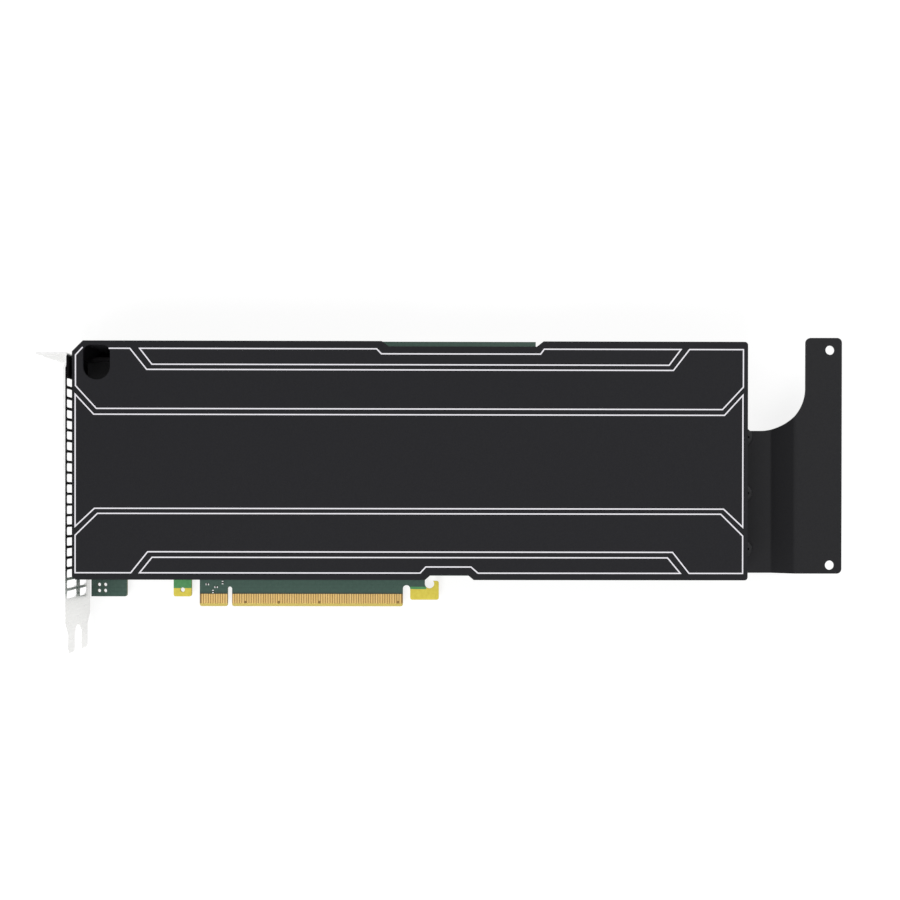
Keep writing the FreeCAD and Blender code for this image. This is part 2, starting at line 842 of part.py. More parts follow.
def recess_corners(start, end, slope, edge, depth, grow=0):
    """Corners of a shallow recess in a long edge; grow widens it for the inner side."""
    return [
        (along(start) - grow, edge), (along(start) + slope - grow, edge - depth),
        (along(end) - slope + grow, edge - depth), (along(end) + grow, edge),
    ]


def make_shroud():
    """Moulded cover, open at both ends, with a recess in each long edge."""
    body = new_body("shroud")
    left, right = along(S.shroud_start), along(S.shroud_end)
    top_recess = (S.top_recess_start, S.top_recess_end, S.top_recess_slope)
    foot_recess = (S.foot_recess_start, S.foot_recess_end, S.foot_recess_slope)
    sketch = new_sketch(body, "XY_Plane", S.shroud_lift)
    outline(sketch, [
        (left, SHROUD_FOOT + S.shroud_foot_chamfer), (left, SHROUD_TOP - S.shroud_chamfer),
        (left + S.shroud_chamfer, SHROUD_TOP),
        *recess_corners(*top_recess, SHROUD_TOP, S.top_recess_depth),
        (right, SHROUD_TOP, S.shroud_foot_chamfer), (right, SHROUD_FOOT, S.shroud_foot_chamfer),
        *reversed(recess_corners(*foot_recess, SHROUD_FOOT, -S.foot_recess_depth)),
        (left + S.shroud_foot_chamfer, SHROUD_FOOT),
    ])
    pad(body, sketch, S.card_height - S.shroud_lift)
    break_face_edges(body)
    hollow = new_sketch(body, "XY_Plane", S.shroud_lift)
    inner_top, inner_foot = SHROUD_TOP - S.shroud_wall, SHROUD_FOOT + S.shroud_wall
    grow = S.shroud_wall / 2
    outline(hollow, [
        (left - OVERCUT, inner_top),
        *recess_corners(*top_recess, inner_top, S.top_recess_depth, grow),
        (right + OVERCUT, inner_top), (right + OVERCUT, inner_foot),
        *reversed(recess_corners(*foot_recess, inner_foot, -S.foot_recess_depth, grow)),
        (left - OVERCUT, inner_foot),
    ])
    pocket(body, hollow, ROOF_UNDER - S.shroud_lift, forward=True)
    cut_oval(body)
    holes = new_sketch(body, "XZ_Plane")
    circles(holes, [(x, S.pad_hole_height) for x in side_screws], S.small_shank + S.hole_play)
    cut_through(body, holes)


def break_face_edges(body):
    """Take the sharp edge off the outer face."""
    doc.recompute()
    base = body.Tip
    top = float(S.card_height)
    face = max(range(len(base.Shape.Faces)), key=lambda index: base.Shape.Faces[index].BoundBox.ZMin)
    assert abs(base.Shape.Faces[face].BoundBox.ZMin - top) < 1e-6
    feature = body.newObject("PartDesign::Chamfer", "shroud_edge_break")
    feature.Base = (base, [f"Face{face + 1}"])
    bind(feature, Size=S.shroud_edge_break)
    body.Tip = feature


def cut_oval(body):
    """Hole near the bracket: a flat head, a round foot."""
    oval = new_sketch(body, "XY_Plane", S.card_height)
    start, end = along(S.oval_start), along(S.oval_start + S.oval_width)
    head = SHROUD_TOP - S.oval_inset
    foot = head - S.oval_length
    outline(oval, [
        (start, foot, S.oval_width / 2), (end, foot, S.oval_width / 2),
        (end, head, S.oval_corner), (start, head, S.oval_corner),
    ])
    pocket(body, oval, S.shroud_wall * 2)


# ---------------------------------------------------------------------- base plate

def make_base_plate():
    """Cast plate with lips, feet on the board, screw pads and three arms at the tail."""
    under, upper = BASE_UNDER, BASE_UPPER
    plate_xs = (along(S.base_start), along(S.base_end))
    lip_top = upper + S.base_lip
    solids = [box("base_sheet", plate_xs, (BASE_FOOT, BASE_TOP), (under, upper))]
    for foot in (BASE_FOOT, BASE_TOP - S.base_lip_width):
        solids.append(box("base_lip", plate_xs, (foot, foot + S.base_lip_width), (under, lip_top)))
    for x, y in base_screw_places:
        solids.append(post("base_foot_boss", x, y, (size_of(0), upper), S.base_boss_radius))
    wall_play = S.thread_play
    inner_foot = SHROUD_FOOT + S.shroud_wall + wall_play
    inner_top = SHROUD_TOP - S.shroud_wall - wall_play
    pads = [(inner_foot, BASE_FOOT + S.base_lip_width), (BASE_TOP - S.base_lip_width, inner_top)]
    half_pad = S.pad_width / 2
    for x in side_screws:
        for ys in pads:
            solids.append(box("base_pad", (x - half_pad, x + half_pad), ys, (under, lip_top)))
    post_x = along(S.extender_screw_place)
    for level in tail_rows:
        ys = (level - S.arm_width / 2, level + S.arm_width / 2)
        solids.append(box("base_arm", (plate_xs[1] - S.arm_width, post_x), ys, (under, upper)))
        solids.append(post("base_post", post_x, level, (under, S.extender_low), S.arm_post_radius))
    base = fuse("base_blank", solids)
    cut("base_plate", base, base_plate_cuts(under, upper, lip_top, pads, post_x))


def base_plate_cuts(under, upper, lip_top, pads, post_x):
    """Windows for the processors and chokes, and every hole of the base plate."""
    through = (under - OVERCUT, upper + OVERCUT)
    tools = [square("gpu_window", x, S.gpu_height, S.gpu_window, through) for x in GPUS]
    for x, y in cooler_screw_places:
        tools.append(post("cooler_hole", x, y, through, S.cooler_post_radius + S.hole_play))
    half = S.choke_size / 2 + S.choke_margin
    last_row = S.choke_first_row + S.choke_pitch * (S.choke_rows - 1)
    middle = along(S.choke_column)
    window_ys = (S.choke_first_row - half, last_row + half)
    tools.append(box("choke_window", (middle - half, middle + half), window_ys, through))
    tapped = S.small_shank + S.thread_play
    for x, y in base_screw_places:
        tools.append(post("base_tap", x, y, (size_of(-OVERCUT), upper - S.base_thickness / 4), tapped))
    for x in side_screws:
        for foot, head in pads:
            side_tap = (foot - OVERCUT, head + OVERCUT)
            tools.append(cross_bore("side_tap", x, side_tap, S.pad_hole_height, tapped))
    for level in tail_rows:
        tail_tap = (upper, S.extender_low + OVERCUT)
        tools.append(post("tail_tap", post_x, level, tail_tap, S.tail_shank + S.thread_play))
    return tools


# ------------------------------------------------------- processors, memory, cooler

def make_processors():
    """Two packages with their dies, and the bridge chip between them."""
    for number, x in enumerate(GPUS, start=1):
        package = (size_of(0), S.substrate_thickness)
        square(f"gpu_substrate_{number}", x, S.gpu_height, S.substrate_size, package)
        square(f"gpu_die_{number}", x, S.gpu_height, S.die_size, (S.substrate_thickness, DIE_TOP))
    middle = along(S.bridge_place)
    square("bridge_chip", middle, S.gpu_height, S.bridge_size, (size_of(0), S.bridge_thickness))
    square("bridge_pad", middle, S.gpu_height, S.bridge_pad_size, (S.bridge_thickness, BASE_UNDER))


def memory_places():
    """Centre, X size and Y size of the chips round both processors."""
    places = []
    for middle in GPUS:
        for side in (-1, 1):
            for step in (-1, 0, 1):
                x = middle + S.memory_column * side
                y = S.gpu_height + S.memory_pitch * step
                places.append((x, y, S.memory_width, S.memory_length))
            x = middle + S.memory_row_half_pitch * side
            places.append((x, S.gpu_height + S.memory_row, S.memory_length, S.memory_width))
    return places


def flat_block(x, y, length, width, bottom, top):
    """A plain block about x, y, from the present sizes."""
    corner = Vector(float(x - length / 2), float(y - width / 2), float(bottom))
    return Part.makeBox(float(length), float(width), float(top - bottom), corner)


def make_memory():
    """Memory on both faces, with thermal pads up to the base plate in front."""
    chip = S.memory_thickness
    inset = S.memory_pad_margin * 2
    places = memory_places()
    front = [flat_block(*place_and_size, size_of(0), chip) for place_and_size in places]
    back = [flat_block(*place_and_size, BOARD_BACK - chip, BOARD_BACK) for place_and_size in places]
    pads = [
        flat_block(x, y, length - inset, width - inset, chip, BASE_UNDER)
        for x, y, length, width in places
    ]
    group("memory_chips_front", front)
    group("memory_chips_back", back)
    group("memory_pads", pads)


def make_cold_plate(number, x):
    """Copper plate with a pedestal on the die and four tapped posts."""
    stack = stack_span(x)
    margin = S.cold_plate_margin
    xs = (stack[0] + margin, stack[1] - margin)
    half = S.stack_width / 2 - margin
    plate = box("plate", xs, (S.stack_middle - half, S.stack_middle + half), (PLATE_LOW, PLATE_HIGH))
    pedestal = square("pedestal", x, S.gpu_height, S.pedestal_size, (DIE_TOP, PLATE_HIGH))
    places = cooler_screw_places[4 * number - 4:4 * number]
    feet = (S.cooler_post_gap, PLATE_LOW + S.cold_plate_thickness / 2)
    posts = [post("plate_post", px, py, feet, S.cooler_post_radius) for px, py in places]
    taps = [
        post("plate_tap", px, py, (size_of(0), S.cooler_thread_depth), S.small_shank + S.thread_play)
        for px, py in places
    ]
    cut(f"cold_plate_{number}", fuse("plate_blank", [plate, pedestal] + posts), taps)


def stack_span(x):
    """The two ends of a fin stack about a processor."""
    return x - S.stack_length / 2, x + S.stack_length / 2


def make_fin_stack(number, x):
    """Upright fins on a thin floor, lengthwise in the air stream."""
    body = new_body(f"fin_stack_{number}", x=stack_span(x)[0], y=S.stack_middle - S.stack_width / 2)
    floor = new_sketch(body, "YZ_Plane")
    rectangle(floor, (size_of(0), S.stack_width), (PLATE_HIGH, PLATE_HIGH + S.stack_floor))
    pad(body, floor, S.stack_length)
    fin = new_sketch(body, "YZ_Plane")
    rectangle(fin, (size_of(0), S.fin_thickness), (PLATE_HIGH, STACK_TOP))
    first = pad(body, fin, S.stack_length)
    pitch = (S.stack_width - S.fin_thickness) / (S.fin_count - 1)
    row_of(body, first, fin, "H_Axis", S.fin_count, pitch)


def make_spring(number, x):
    """Cross-shaped leaf spring on the back, with an eye for each cooler screw."""
    body = new_body(f"retention_spring_{number}", x=x, y=S.gpu_height, z=SPRING_UNDER)
    reach_x, reach_y = S.cooler_screw_x, S.cooler_screw_y
    length = root(reach_x * reach_x + reach_y * reach_y)
    side_x = S.spring_arm / 2 * reach_y / length
    side_y = S.spring_arm / 2 * reach_x / length
    for hand in (-1, 1):
        arm = new_sketch(body, "XY_Plane")
        outline(arm, [
            ((reach_x - side_x) * hand, reach_y + side_y),
            ((-side_x - reach_x) * hand, side_y - reach_y),
            ((side_x - reach_x) * hand, -reach_y - side_y),
            ((reach_x + side_x) * hand, reach_y - side_y),
        ])
        pad(body, arm, S.spring_thickness)
    hub = new_sketch(body, "XY_Plane")
    circles(hub, [(0, 0)], S.spring_hub_radius)
    pad(body, hub, S.spring_thickness)
    eyes = [(reach_x * side, reach_y * up) for side in (-1, 1) for up in (-1, 1)]
    rings = new_sketch(body, "XY_Plane")
    circles(rings, eyes, S.spring_eye_radius)
    pad(body, rings, S.spring_thickness)
    holes = new_sketch(body, "XY_Plane")
    circles(holes, eyes, S.small_shank + S.hole_play / 2)
    cut_through(body, holes)


def make_insulators():
    """Discs between the springs and the back of the board."""
    radius, thickness = float(S.insulator_radius), float(S.insulator_thickness)
    discs = [Part.makeCylinder(radius, thickness, vector(x, S.gpu_height, SPRING_UPPER)) for x in GPUS]
    group("spring_insulators", discs)


# --------------------------------------------------------------------- power parts

def choke_places():
    """Centres of the chokes: a column by the bracket and two pairs at the tail."""
    rows = range(whole(S.choke_rows))
    places = [(along(S.choke_column), S.choke_first_row + S.choke_pitch * step) for step in rows]
    for level in between_arms:
        for step in range(2):
            places.append((along(S.tail_choke_column + S.tail_choke_pitch * step), level))
    return places


def make_power_parts():
    """Chokes, transistors with their pads, and capacitor cans."""
    chokes = []
    for x, y in choke_places():
        block = flat_block(x, y, S.choke_size, S.choke_size, size_of(0), S.choke_height)
        upright = [edge for edge in block.Edges if edge.BoundBox.ZLength > 1e-6]
        chokes.append(block.makeChamfer(float(S.choke_break), upright))
    group("power_chokes", chokes)
    rows = range(whole(S.choke_rows))
    places = [(along(S.mosfet_column), S.choke_first_row + S.choke_pitch * step) for step in rows]
    for level in between_arms:
        for side in (-1, 1):
            places.append((along(S.tail_mosfet_column), level + S.mosfet_half_pitch * side))
    spans = (S.mosfet_width, S.mosfet_length)
    height = S.mosfet_height
    group("power_mosfets", [flat_block(x, y, *spans, size_of(0), height) for x, y in places])
    group("mosfet_pads", [flat_block(x, y, *spans, height, BASE_UNDER) for x, y in places])
    cans = [(along(S.tail_can_column), level) for level in between_arms]
    last_can = SHROUD_TOP - S.upper_can_inset
    upper_column = along(S.upper_can_column)
    steps = range(whole(S.upper_can_count))
    cans += [(upper_column, last_can - S.upper_can_pitch * step) for step in steps]
    group("power_capacitors", [capacitor_can(x, y) for x, y in cans])


def capacitor_can(x, y):
    """A metal can on a square foot with two cropped corners."""
    side = S.can_radius * 2
    foot = flat_block(x, y, side, side, size_of(0), S.can_foot_height)
    upright = [edge for edge in foot.Edges if edge.BoundBox.ZLength > 1e-6]
    inward = [edge for edge in upright if edge.BoundBox.XMin > float(x)]
    foot = foot.makeChamfer(float(S.can_foot_crop), inward)
    can_height = float(S.can_height - S.can_foot_height)
    can_radius = float(S.can_radius - S.can_foot_margin)
    can = Part.makeCylinder(can_radius, can_height, vector(x, y, S.can_foot_height))
    return foot.fuse(can)


def make_inlet(name, columns, foot):
    """Power inlet: housing with two rows of square cavities and a latch ramp."""
    body = new_body(name, x=along(INLET_BACK), y=foot)
    span = inlet_span(columns)
    sketch = new_sketch(body, "XY_Plane")
    rectangle(sketch, (size_of(0), S.inlet_depth), (size_of(0), span))
    pad(body, sketch, S.inlet_height)
    ramp = new_sketch(body, "XZ_Plane", -(span / 2 + S.inlet_pitch / 2))
    latch_end = S.inlet_depth - S.inlet_latch_length
    outline(ramp, [
        (latch_end - S.inlet_latch_length, S.inlet_height), (latch_end, S.inlet_height),
        (latch_end - S.inlet_latch_length, S.inlet_height + S.inlet_latch_height),
    ])
    pad(body, ramp, S.inlet_pitch)
    mouths = new_sketch(body, "YZ_Plane", S.inlet_depth)
    bores = new_sketch(body, "YZ_Plane")
    for level in inlet_levels:
        for step in range(whole(columns)):
            middle = S.inlet_side + S.inlet_pitch * step
            half, pin = S.inlet_cavity / 2, S.pin_size / 2
            rectangle(mouths, (middle - half, middle + half), (level - half, level + half))
            rectangle(bores, (middle - pin, middle + pin), (level - pin, level + pin))
    pocket(body, mouths, S.inlet_cavity_depth)
    cut_through(body, bores)


def make_power_pins():
    """Angled terminals from the cavities, down through the board."""
    half = float(S.pin_size) / 2
    tip = float(along(S.inlet_end - S.pin_mouth_gap))
    low = float(BOARD_BACK - S.pin_tail)
    pins = []
    for x, y, level in pin_places:
        left, front, up = float(x) - half, float(y) - half, float(level)
        run = Part.makeBox(tip - left, 2 * half, 2 * half, Vector(left, front, up - half))
        leg = Part.makeBox(2 * half, 2 * half, up + half - low, Vector(left, front, low))
        pins.append(run.fuse(leg).removeSplitter())
    group("power_pins", pins)


# -------------------------------------------------------------------- tail bracket

def make_extender():
    """Folded sheet at the tail with a quarter-round cut-out for the power leads."""
    body = new_body("extender_bracket")
    low, thick, rise = S.extender_low, S.extender_thickness, S.extender_rise
    start, end = along(S.extender_start), along(S.extender_end)
    fold, fold_end = along(S.extender_fold), along(S.extender_fold_end)
    profile = new_sketch(body, "XZ_Plane", -EXTENDER_TOP)
    outline(profile, [
        (start, low), (fold, low), (fold_end, low + rise), (end, low + rise),
        (end, low + rise + thick), (fold_end, low + rise + thick),
        (fold, low + thick), (start, low + thick),
    ])
    pad(body, profile, EXTENDER_TOP - EXTENDER_FOOT)
    outer = [vector(fold, 0, low), vector(fold_end, 0, low + rise + thick)]
    inner = [vector(fold_end, 0, low + rise), vector(fold, 0, low + thick)]
    round_edges(body, Vector(0, 1, 0), outer, S.extender_bend + S.extender_thickness)
    round_edges(body, Vector(0, 1, 0), inner, S.extender_bend)
    trim_extender(body, start, end)


def trim_extender(body, start, end):
    """Cut-out, rounded outer corners and holes, all in the plan view."""
    strip, corner = along(S.extender_strip), S.extender_corner
    cut_foot = tail_rows[-1] + S.extender_cut_margin
    beyond = EXTENDER_TOP + OVERCUT
    lead_way = new_sketch(body, "XY_Plane")
    outline(lead_way, [
        (start - OVERCUT, beyond), (start - OVERCUT, cut_foot),
        (strip, cut_foot, S.extender_cut_radius), (strip, beyond),
    ])
    cut_through(body, lead_way)
    corners = [(strip, EXTENDER_TOP), (end, EXTENDER_TOP), (end, EXTENDER_FOOT)]
    round_edges(body, Vector(0, 0, 1), [vector(x, y) for x, y in corners], corner)
    hole_x = end - S.extender_hole_inset
    middle = (EXTENDER_TOP + EXTENDER_FOOT) / 2 - S.extender_bend / 2
    half = S.extender_hole_spacing / 2
    holes = new_sketch(body, "XY_Plane")
    circles(holes, [(hole_x, middle - half), (hole_x, middle + half)], S.extender_hole_radius)
    cut_through(body, holes)
    screw_holes = new_sketch(body, "XY_Plane")
    screw_x = along(S.extender_screw_place)
    circles(screw_holes, [(screw_x, level) for level in tail_rows], S.tail_shank + S.hole_play / 2)
    cut_through(body, screw_holes)


# -------------------------------------------------------------------------- screws

def screw(head_radius, head_height, shank_radius, shank_length):
    """A screw with its head's underside at the origin and its shank along -Z."""
    head = Part.makeCylinder(float(head_radius), float(head_height))
    shank = Part.makeCylinder(float(shank_radius), float(shank_length), Vector(0, 0, -float(shank_length)))
    return head.fuse(shank).removeSplitter()


def set_screws(model, places, outward):
    """Copies of one screw, heads facing outward, at places given as vectors."""
    turn = FreeCAD.Rotation(Vector(0, 0, 1), outward)
    copies = []
    for spot in places:
        copy = model.copy()
        copy.Placement = FreeCAD.Placement(spot, turn)
        copies.append(copy)
    return copies


def make_screws():
    """All fasteners, one group for each kind."""
    down, up = Vector(0, 0, -1), Vector(0, 0, 1)
    shank = S.small_shank
    base_length = BASE_UPPER - S.base_thickness / 2 + S.board_thickness
    base_screw = screw(S.base_head, S.base_head_height, shank, base_length)
    base_spots = [vector(x, y, BOARD_BACK) for x, y in base_screw_places]
    group("base_screws", set_screws(base_screw, base_spots, down))
    lug_screw = screw(S.base_head, S.base_head_height, shank, S.board_thickness + S.bracket_thickness)
    lug_spots = [vector(x, y, BOARD_BACK) for x, y in lug_places]
    group("bracket_screws", set_screws(lug_screw, lug_spots, down))
    spring_head_height = SPRING_UNDER - BRACKET_LOW
    cooler_length = S.cooler_thread_depth - S.thread_spare - SPRING_UNDER
    cooler_screw = screw(S.spring_head, spring_head_height, shank, cooler_length)
    cooler_spots = [vector(x, y, SPRING_UNDER) for x, y in cooler_screw_places]
    group("heatsink_screws", set_screws(cooler_screw, cooler_spots, down))
    tail_length = S.extender_low - BASE_UPPER - S.thread_spare
    tail_screw = screw(S.tail_head, S.tail_head_height, S.tail_shank, tail_length)
    sheet_top = S.extender_low + S.extender_thickness
    tail_spots = [vector(along(S.extender_screw_place), level, sheet_top) for level in tail_rows]
    group("extender_screws", set_screws(tail_screw, tail_spots, up))
    side_screw = screw(S.small_head, S.small_head_height, shank, S.side_screw_length)
    top_spots = [vector(x, SHROUD_TOP, S.pad_hole_height) for x in side_screws]
    foot_spots = [vector(x, SHROUD_FOOT, S.pad_hole_height) for x in side_screws]
    group("shroud_screws", set_screws(side_screw, top_spots, Vector(0, 1, 0))
          + set_screws(side_screw, foot_spots, Vector(0, -1, 0)))


def make_edge_resistors():
    """A few chip parts on the board above the short row of contacts."""
    chips = []
    for x, lift, lengthwise in EDGE_CHIPS:
        spans = (S.chip_length, S.chip_width) if lengthwise else (S.chip_width, S.chip_length)
        chips.append(flat_block(size_of(x), S.contact_top + lift, *spans, size_of(0), S.chip_height))
    group("edge_resistors", chips)


# --------------------------------------------------------------------- whole card

make_pcb()
make_contacts()
make_bracket()
make_shroud()
make_base_plate()
make_processors()
make_memory()
for index, middle_x in enumerate(GPUS, start=1):
    make_cold_plate(index, middle_x)
    make_fin_stack(index, middle_x)
    make_spring(index, middle_x)
make_insulators()
make_power_parts()
for inlet, (terminals, inlet_foot) in INLETS.items():
    make_inlet(inlet, terminals, inlet_foot)
make_power_pins()
make_extender()
make_screws()
make_edge_resistors()
doc.recompute()

NODES = [
    "pcb", "edge_contacts_front", "edge_contacts_back", "io_bracket", "bracket_screws",
    "shroud", "shroud_screws", "base_plate", "base_screws",
    "gpu_substrate_1", "gpu_substrate_2", "gpu_die_1", "gpu_die_2", "bridge_chip", "bridge_pad",
    "memory_chips_front", "memory_chips_back", "memory_pads",
    "cold_plate_1", "cold_plate_2", "fin_stack_1", "fin_stack_2",
    "retention_spring_1", "retention_spring_2", "spring_insulators", "heatsink_screws",
    "power_chokes", "power_mosfets", "mosfet_pads", "power_capacitors",
    "power_inlet_8pin", "power_inlet_6pin", "power_pins",
    "extender_bracket", "extender_screws", "edge_resistors",
]

for thing in doc.Objects:
    if "Invalid" in thing.State or "Error" in thing.State:
        raise RuntimeError(f"{thing.Label} failed: {thing.State}")
for node in NODES:
    shape = doc.getObject(node).Shape
    if shape.isNull() or not shape.isValid():
        raise RuntimeError(f"{node} has no valid shape")
os.makedirs("parts", exist_ok=True)
for node in NODES:
    doc.getObject(node).Shape.exportStep(f"parts/{node}.step")
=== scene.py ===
import json
import math

import bmesh
import bpy
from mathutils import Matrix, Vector


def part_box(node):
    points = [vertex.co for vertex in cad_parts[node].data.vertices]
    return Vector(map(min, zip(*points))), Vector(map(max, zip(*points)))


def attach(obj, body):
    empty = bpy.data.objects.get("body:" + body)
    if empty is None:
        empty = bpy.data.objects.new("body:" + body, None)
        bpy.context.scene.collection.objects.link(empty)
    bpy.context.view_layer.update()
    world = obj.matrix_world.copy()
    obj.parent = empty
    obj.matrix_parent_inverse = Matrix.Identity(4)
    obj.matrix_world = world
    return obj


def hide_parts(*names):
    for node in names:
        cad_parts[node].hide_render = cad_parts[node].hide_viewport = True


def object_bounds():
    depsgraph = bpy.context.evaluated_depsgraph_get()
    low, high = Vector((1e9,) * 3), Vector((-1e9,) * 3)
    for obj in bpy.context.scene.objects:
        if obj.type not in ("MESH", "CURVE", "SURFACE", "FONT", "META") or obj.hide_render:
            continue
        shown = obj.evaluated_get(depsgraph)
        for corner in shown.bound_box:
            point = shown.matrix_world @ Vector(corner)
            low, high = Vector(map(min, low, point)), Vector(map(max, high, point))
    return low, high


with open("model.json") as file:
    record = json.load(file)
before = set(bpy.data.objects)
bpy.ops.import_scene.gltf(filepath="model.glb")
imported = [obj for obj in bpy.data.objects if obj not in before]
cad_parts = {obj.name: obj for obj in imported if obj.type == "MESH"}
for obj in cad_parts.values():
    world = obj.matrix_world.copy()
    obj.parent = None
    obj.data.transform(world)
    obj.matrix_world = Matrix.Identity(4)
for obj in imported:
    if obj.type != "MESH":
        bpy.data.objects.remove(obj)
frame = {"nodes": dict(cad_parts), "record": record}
cad_low, cad_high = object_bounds()

# Blender counts in metres; sizes are written in millimetres and multiplied by this.
MM = 0.001
ROOT = "root"


# ------------------------------------------------------------------- node helpers

def srgb(red, green, blue):
    """A colour given in screen values from 0 to 255, as linear RGBA."""
    def linear(value):
        value /= 255
        return value / 12.92 if value <= 0.04045 else ((value + 0.055) / 1.055) ** 2.4
    return (linear(red), linear(green), linear(blue), 1.0)


# The mix node's sockets for colours; those for other kinds of values lie between them.
MIX_AMOUNT, MIX_FIRST, MIX_SECOND, MIX_RESULT = 0, 6, 7, 2
# The part of a noise's range from 0 to 1 in which nearly all of its values lie.
NOISE_LOW, NOISE_HIGH = 0.3, 0.7


class Nodes:
    """A node tree, with short calls for the nodes used here."""

    def __init__(self, tree):
        self.tree = tree

    def add(self, kind, *values, **settings):
        """A new node, with values or links for its first sockets in their order."""
        made = self.tree.nodes.new(kind)
        for key, value in settings.items():
            setattr(made, key, value)
        for index, value in enumerate(values):
            self.feed(made.inputs[index], value)
        return made

    def feed(self, socket, value):
        """Link a socket or set its value; None leaves it as it is."""
        if value is None:
            return
        if isinstance(value, bpy.types.NodeSocket):
            self.tree.links.new(value, socket)
        else:
            socket.default_value = value

    def math(self, operation, *values):
        return self.add("ShaderNodeMath", *values, operation=operation).outputs[0]

    def times(self, value, factor):
        return self.math("MULTIPLY", value, factor)

    def above(self, value, limit):
        """1 where value lies above the limit, otherwise 0."""
        return self.math("GREATER_THAN", value, limit)

    def below(self, value, limit):
        """1 where value lies below the limit, otherwise 0."""
        return self.math("LESS_THAN", value, limit)

    def within(self, value, low, high):
        """1 where value lies between low and high, otherwise 0."""
        return self.both(self.above(value, low), self.below(value, high))

    def either(self, mask, *others):
        """1 where any of the masks is 1."""
        for other in others:
            mask = self.math("MAXIMUM", mask, other)
        return mask

    def both(self, mask, *others):
        """1 where all of the masks are 1."""
        for other in others:
            mask = self.times(mask, other)
        return mask

    def ramp(self, value, low, high, start=0.0, end=1.0):
        """The range from low to high, carried over to the one from start to end."""
        return self.add("ShaderNodeMapRange", value, low, high, start, end).outputs["Result"]

    def seen(self):
        """1 for rays from the camera, off glossy things and through clear ones, otherwise 0."""
        path = self.add("ShaderNodeLightPath")
        return self.either(path.outputs["Is Camera Ray"], path.outputs["Is Glossy Ray"],
                           path.outputs["Is Transmission Ray"])


class Graph(Nodes):
    """The node tree of a new material."""

    def __init__(self, name):
        self.material = bpy.data.materials.new(name)
        self.material.use_nodes = True
        super().__init__(self.material.node_tree)
        self.shader = self.tree.nodes["Principled BSDF"]
        self.place = self.add("ShaderNodeTexCoord").outputs["Object"]

    def axis(self, letter, source=None):
        """One coordinate of a vector, or of the place on the object."""
        split = self.add("ShaderNodeSeparateXYZ", source or self.place)
        return split.outputs[letter.upper()]

    def normal(self, letter):
        """How far the surface faces along this axis, from -1 to 1."""
        return self.axis(letter, self.add("ShaderNodeNewGeometry").outputs["Normal"])

    def noise(self, scale, detail=3.0, stretch=None):
        """Noise from 0 to 1; stretch is a factor on the scale for each axis."""
        place = self.place
        if stretch:
            place = self.add("ShaderNodeMapping", place, None, None, stretch).outputs[0]
        made = self.add("ShaderNodeTexNoise")
        self.feed(made.inputs["Vector"], place)
        made.inputs["Scale"].default_value = scale
        made.inputs["Detail"].default_value = detail
        return made.outputs["Fac"]

    def spread(self, noise, start=0.0, end=1.0):
        """A noise carried over to the range from start to end."""
        return self.ramp(noise, NOISE_LOW, NOISE_HIGH, start, end)

    def mix(self, amount, first, second):
        """The first colour where amount is 0, the second where it is 1."""
        made = self.add("ShaderNodeMix", data_type="RGBA")
        for socket, value in ((MIX_AMOUNT, amount), (MIX_FIRST, first), (MIX_SECOND, second)):
            self.feed(made.inputs[socket], value)
        return made.outputs[MIX_RESULT]

    def bump(self, height, distance, strength=1.0):
        """A normal for a relief of this height; distance is in metres."""
        made = self.add("ShaderNodeBump")
        self.feed(made.inputs["Height"], height)
        made.inputs["Distance"].default_value = distance
        made.inputs["Strength"].default_value = strength
        return made.outputs["Normal"]

    def set(self, **values):
        """Values or links for the shader's sockets, by their names with underscores."""
        for key, value in values.items():
            self.feed(self.shader.inputs[key.replace("_", " ")], value)


# Scale of the pattern of the gloss and of the relief, as shares of the colour's.
GLOSS_GRAIN, RELIEF_GRAIN = 0.6, 3


def surface(name, dark, light, rough=(0.45, 0.55), grain=900.0, relief=0.00001, stretch=None,
            **sockets):
    """A surface whose colour and gloss vary a little, with a fine relief.

    rough is its range of roughness, grain the scale of its pattern, relief a depth in metres and
    stretch a factor on the scale for each axis. sockets are further values for the shader.
    """
    graph = Graph(name)
    cloud = graph.noise(grain, stretch=stretch)
    gloss = graph.noise(grain * GLOSS_GRAIN, stretch=stretch)
    fine = graph.noise(grain * RELIEF_GRAIN, detail=2.0, stretch=stretch)
    graph.set(Base_Color=graph.mix(graph.spread(cloud), dark, light),
              Roughness=graph.spread(gloss, *rough), Normal=graph.bump(fine, relief), **sockets)
    return graph.material


def metal(name, dark, light, rough=(0.25, 0.35), **options):
    """A bare metal surface; the options are those of surface()."""
    return surface(name, dark, light, rough, Metallic=1.0, **options)


# ---------------------------------------------------------------------- materials

# Stretches of the board along X, in mm: the test tab, the tongue, the hook and the hook's finger.
TAB_X, TONGUE_X, HOOK_X, FINGER_X = (-25, -14), (-13, 73), (75, 92), (82.5, 92)
# Up to these heights, in mm, the laminate is bare or has only a thin bright mask.
TAB_BARE, TAB_THIN = 7.6, 13.5
HOOK_BARE, HOOK_THIN, FINGER_BARE = 7.25, 8.25, 11.2
# Heights on the tongue, in mm: its bevel, its bare laminate and the dark line of painted shade over
# the contacts, where the mask ends.
BEVEL_TOP, TONGUE_TOP, MASK_EDGE_SHADE_Y = 1.2, 5.25, (5.2, 5.75)
# Pitch of the laminate's weave and of the vias, in mm, and a via's radii as shares of that pitch.
WEAVE_PITCH, VIA_PITCH = 0.9, 2.6
VIA_BORE, VIA_RING = 0.045, 0.1
# Scale of the mask's mottling, of the places where vias crowd and of the tracks, and the gap
# between tracks as a share of one.
MOTTLE_SCALE, CROWD_SCALE, TRACK_SCALE, TRACK_GAP = 700.0, 60.0, 160.0, 0.012


def laminate_weave(graph, x, y):
    """The waves of the glass cloth, from -1 to 1."""
    turns = 2 * math.pi / (WEAVE_PITCH * MM)
    return graph.times(*(graph.math("SINE", graph.times(way, turns)) for way in (x, y)))


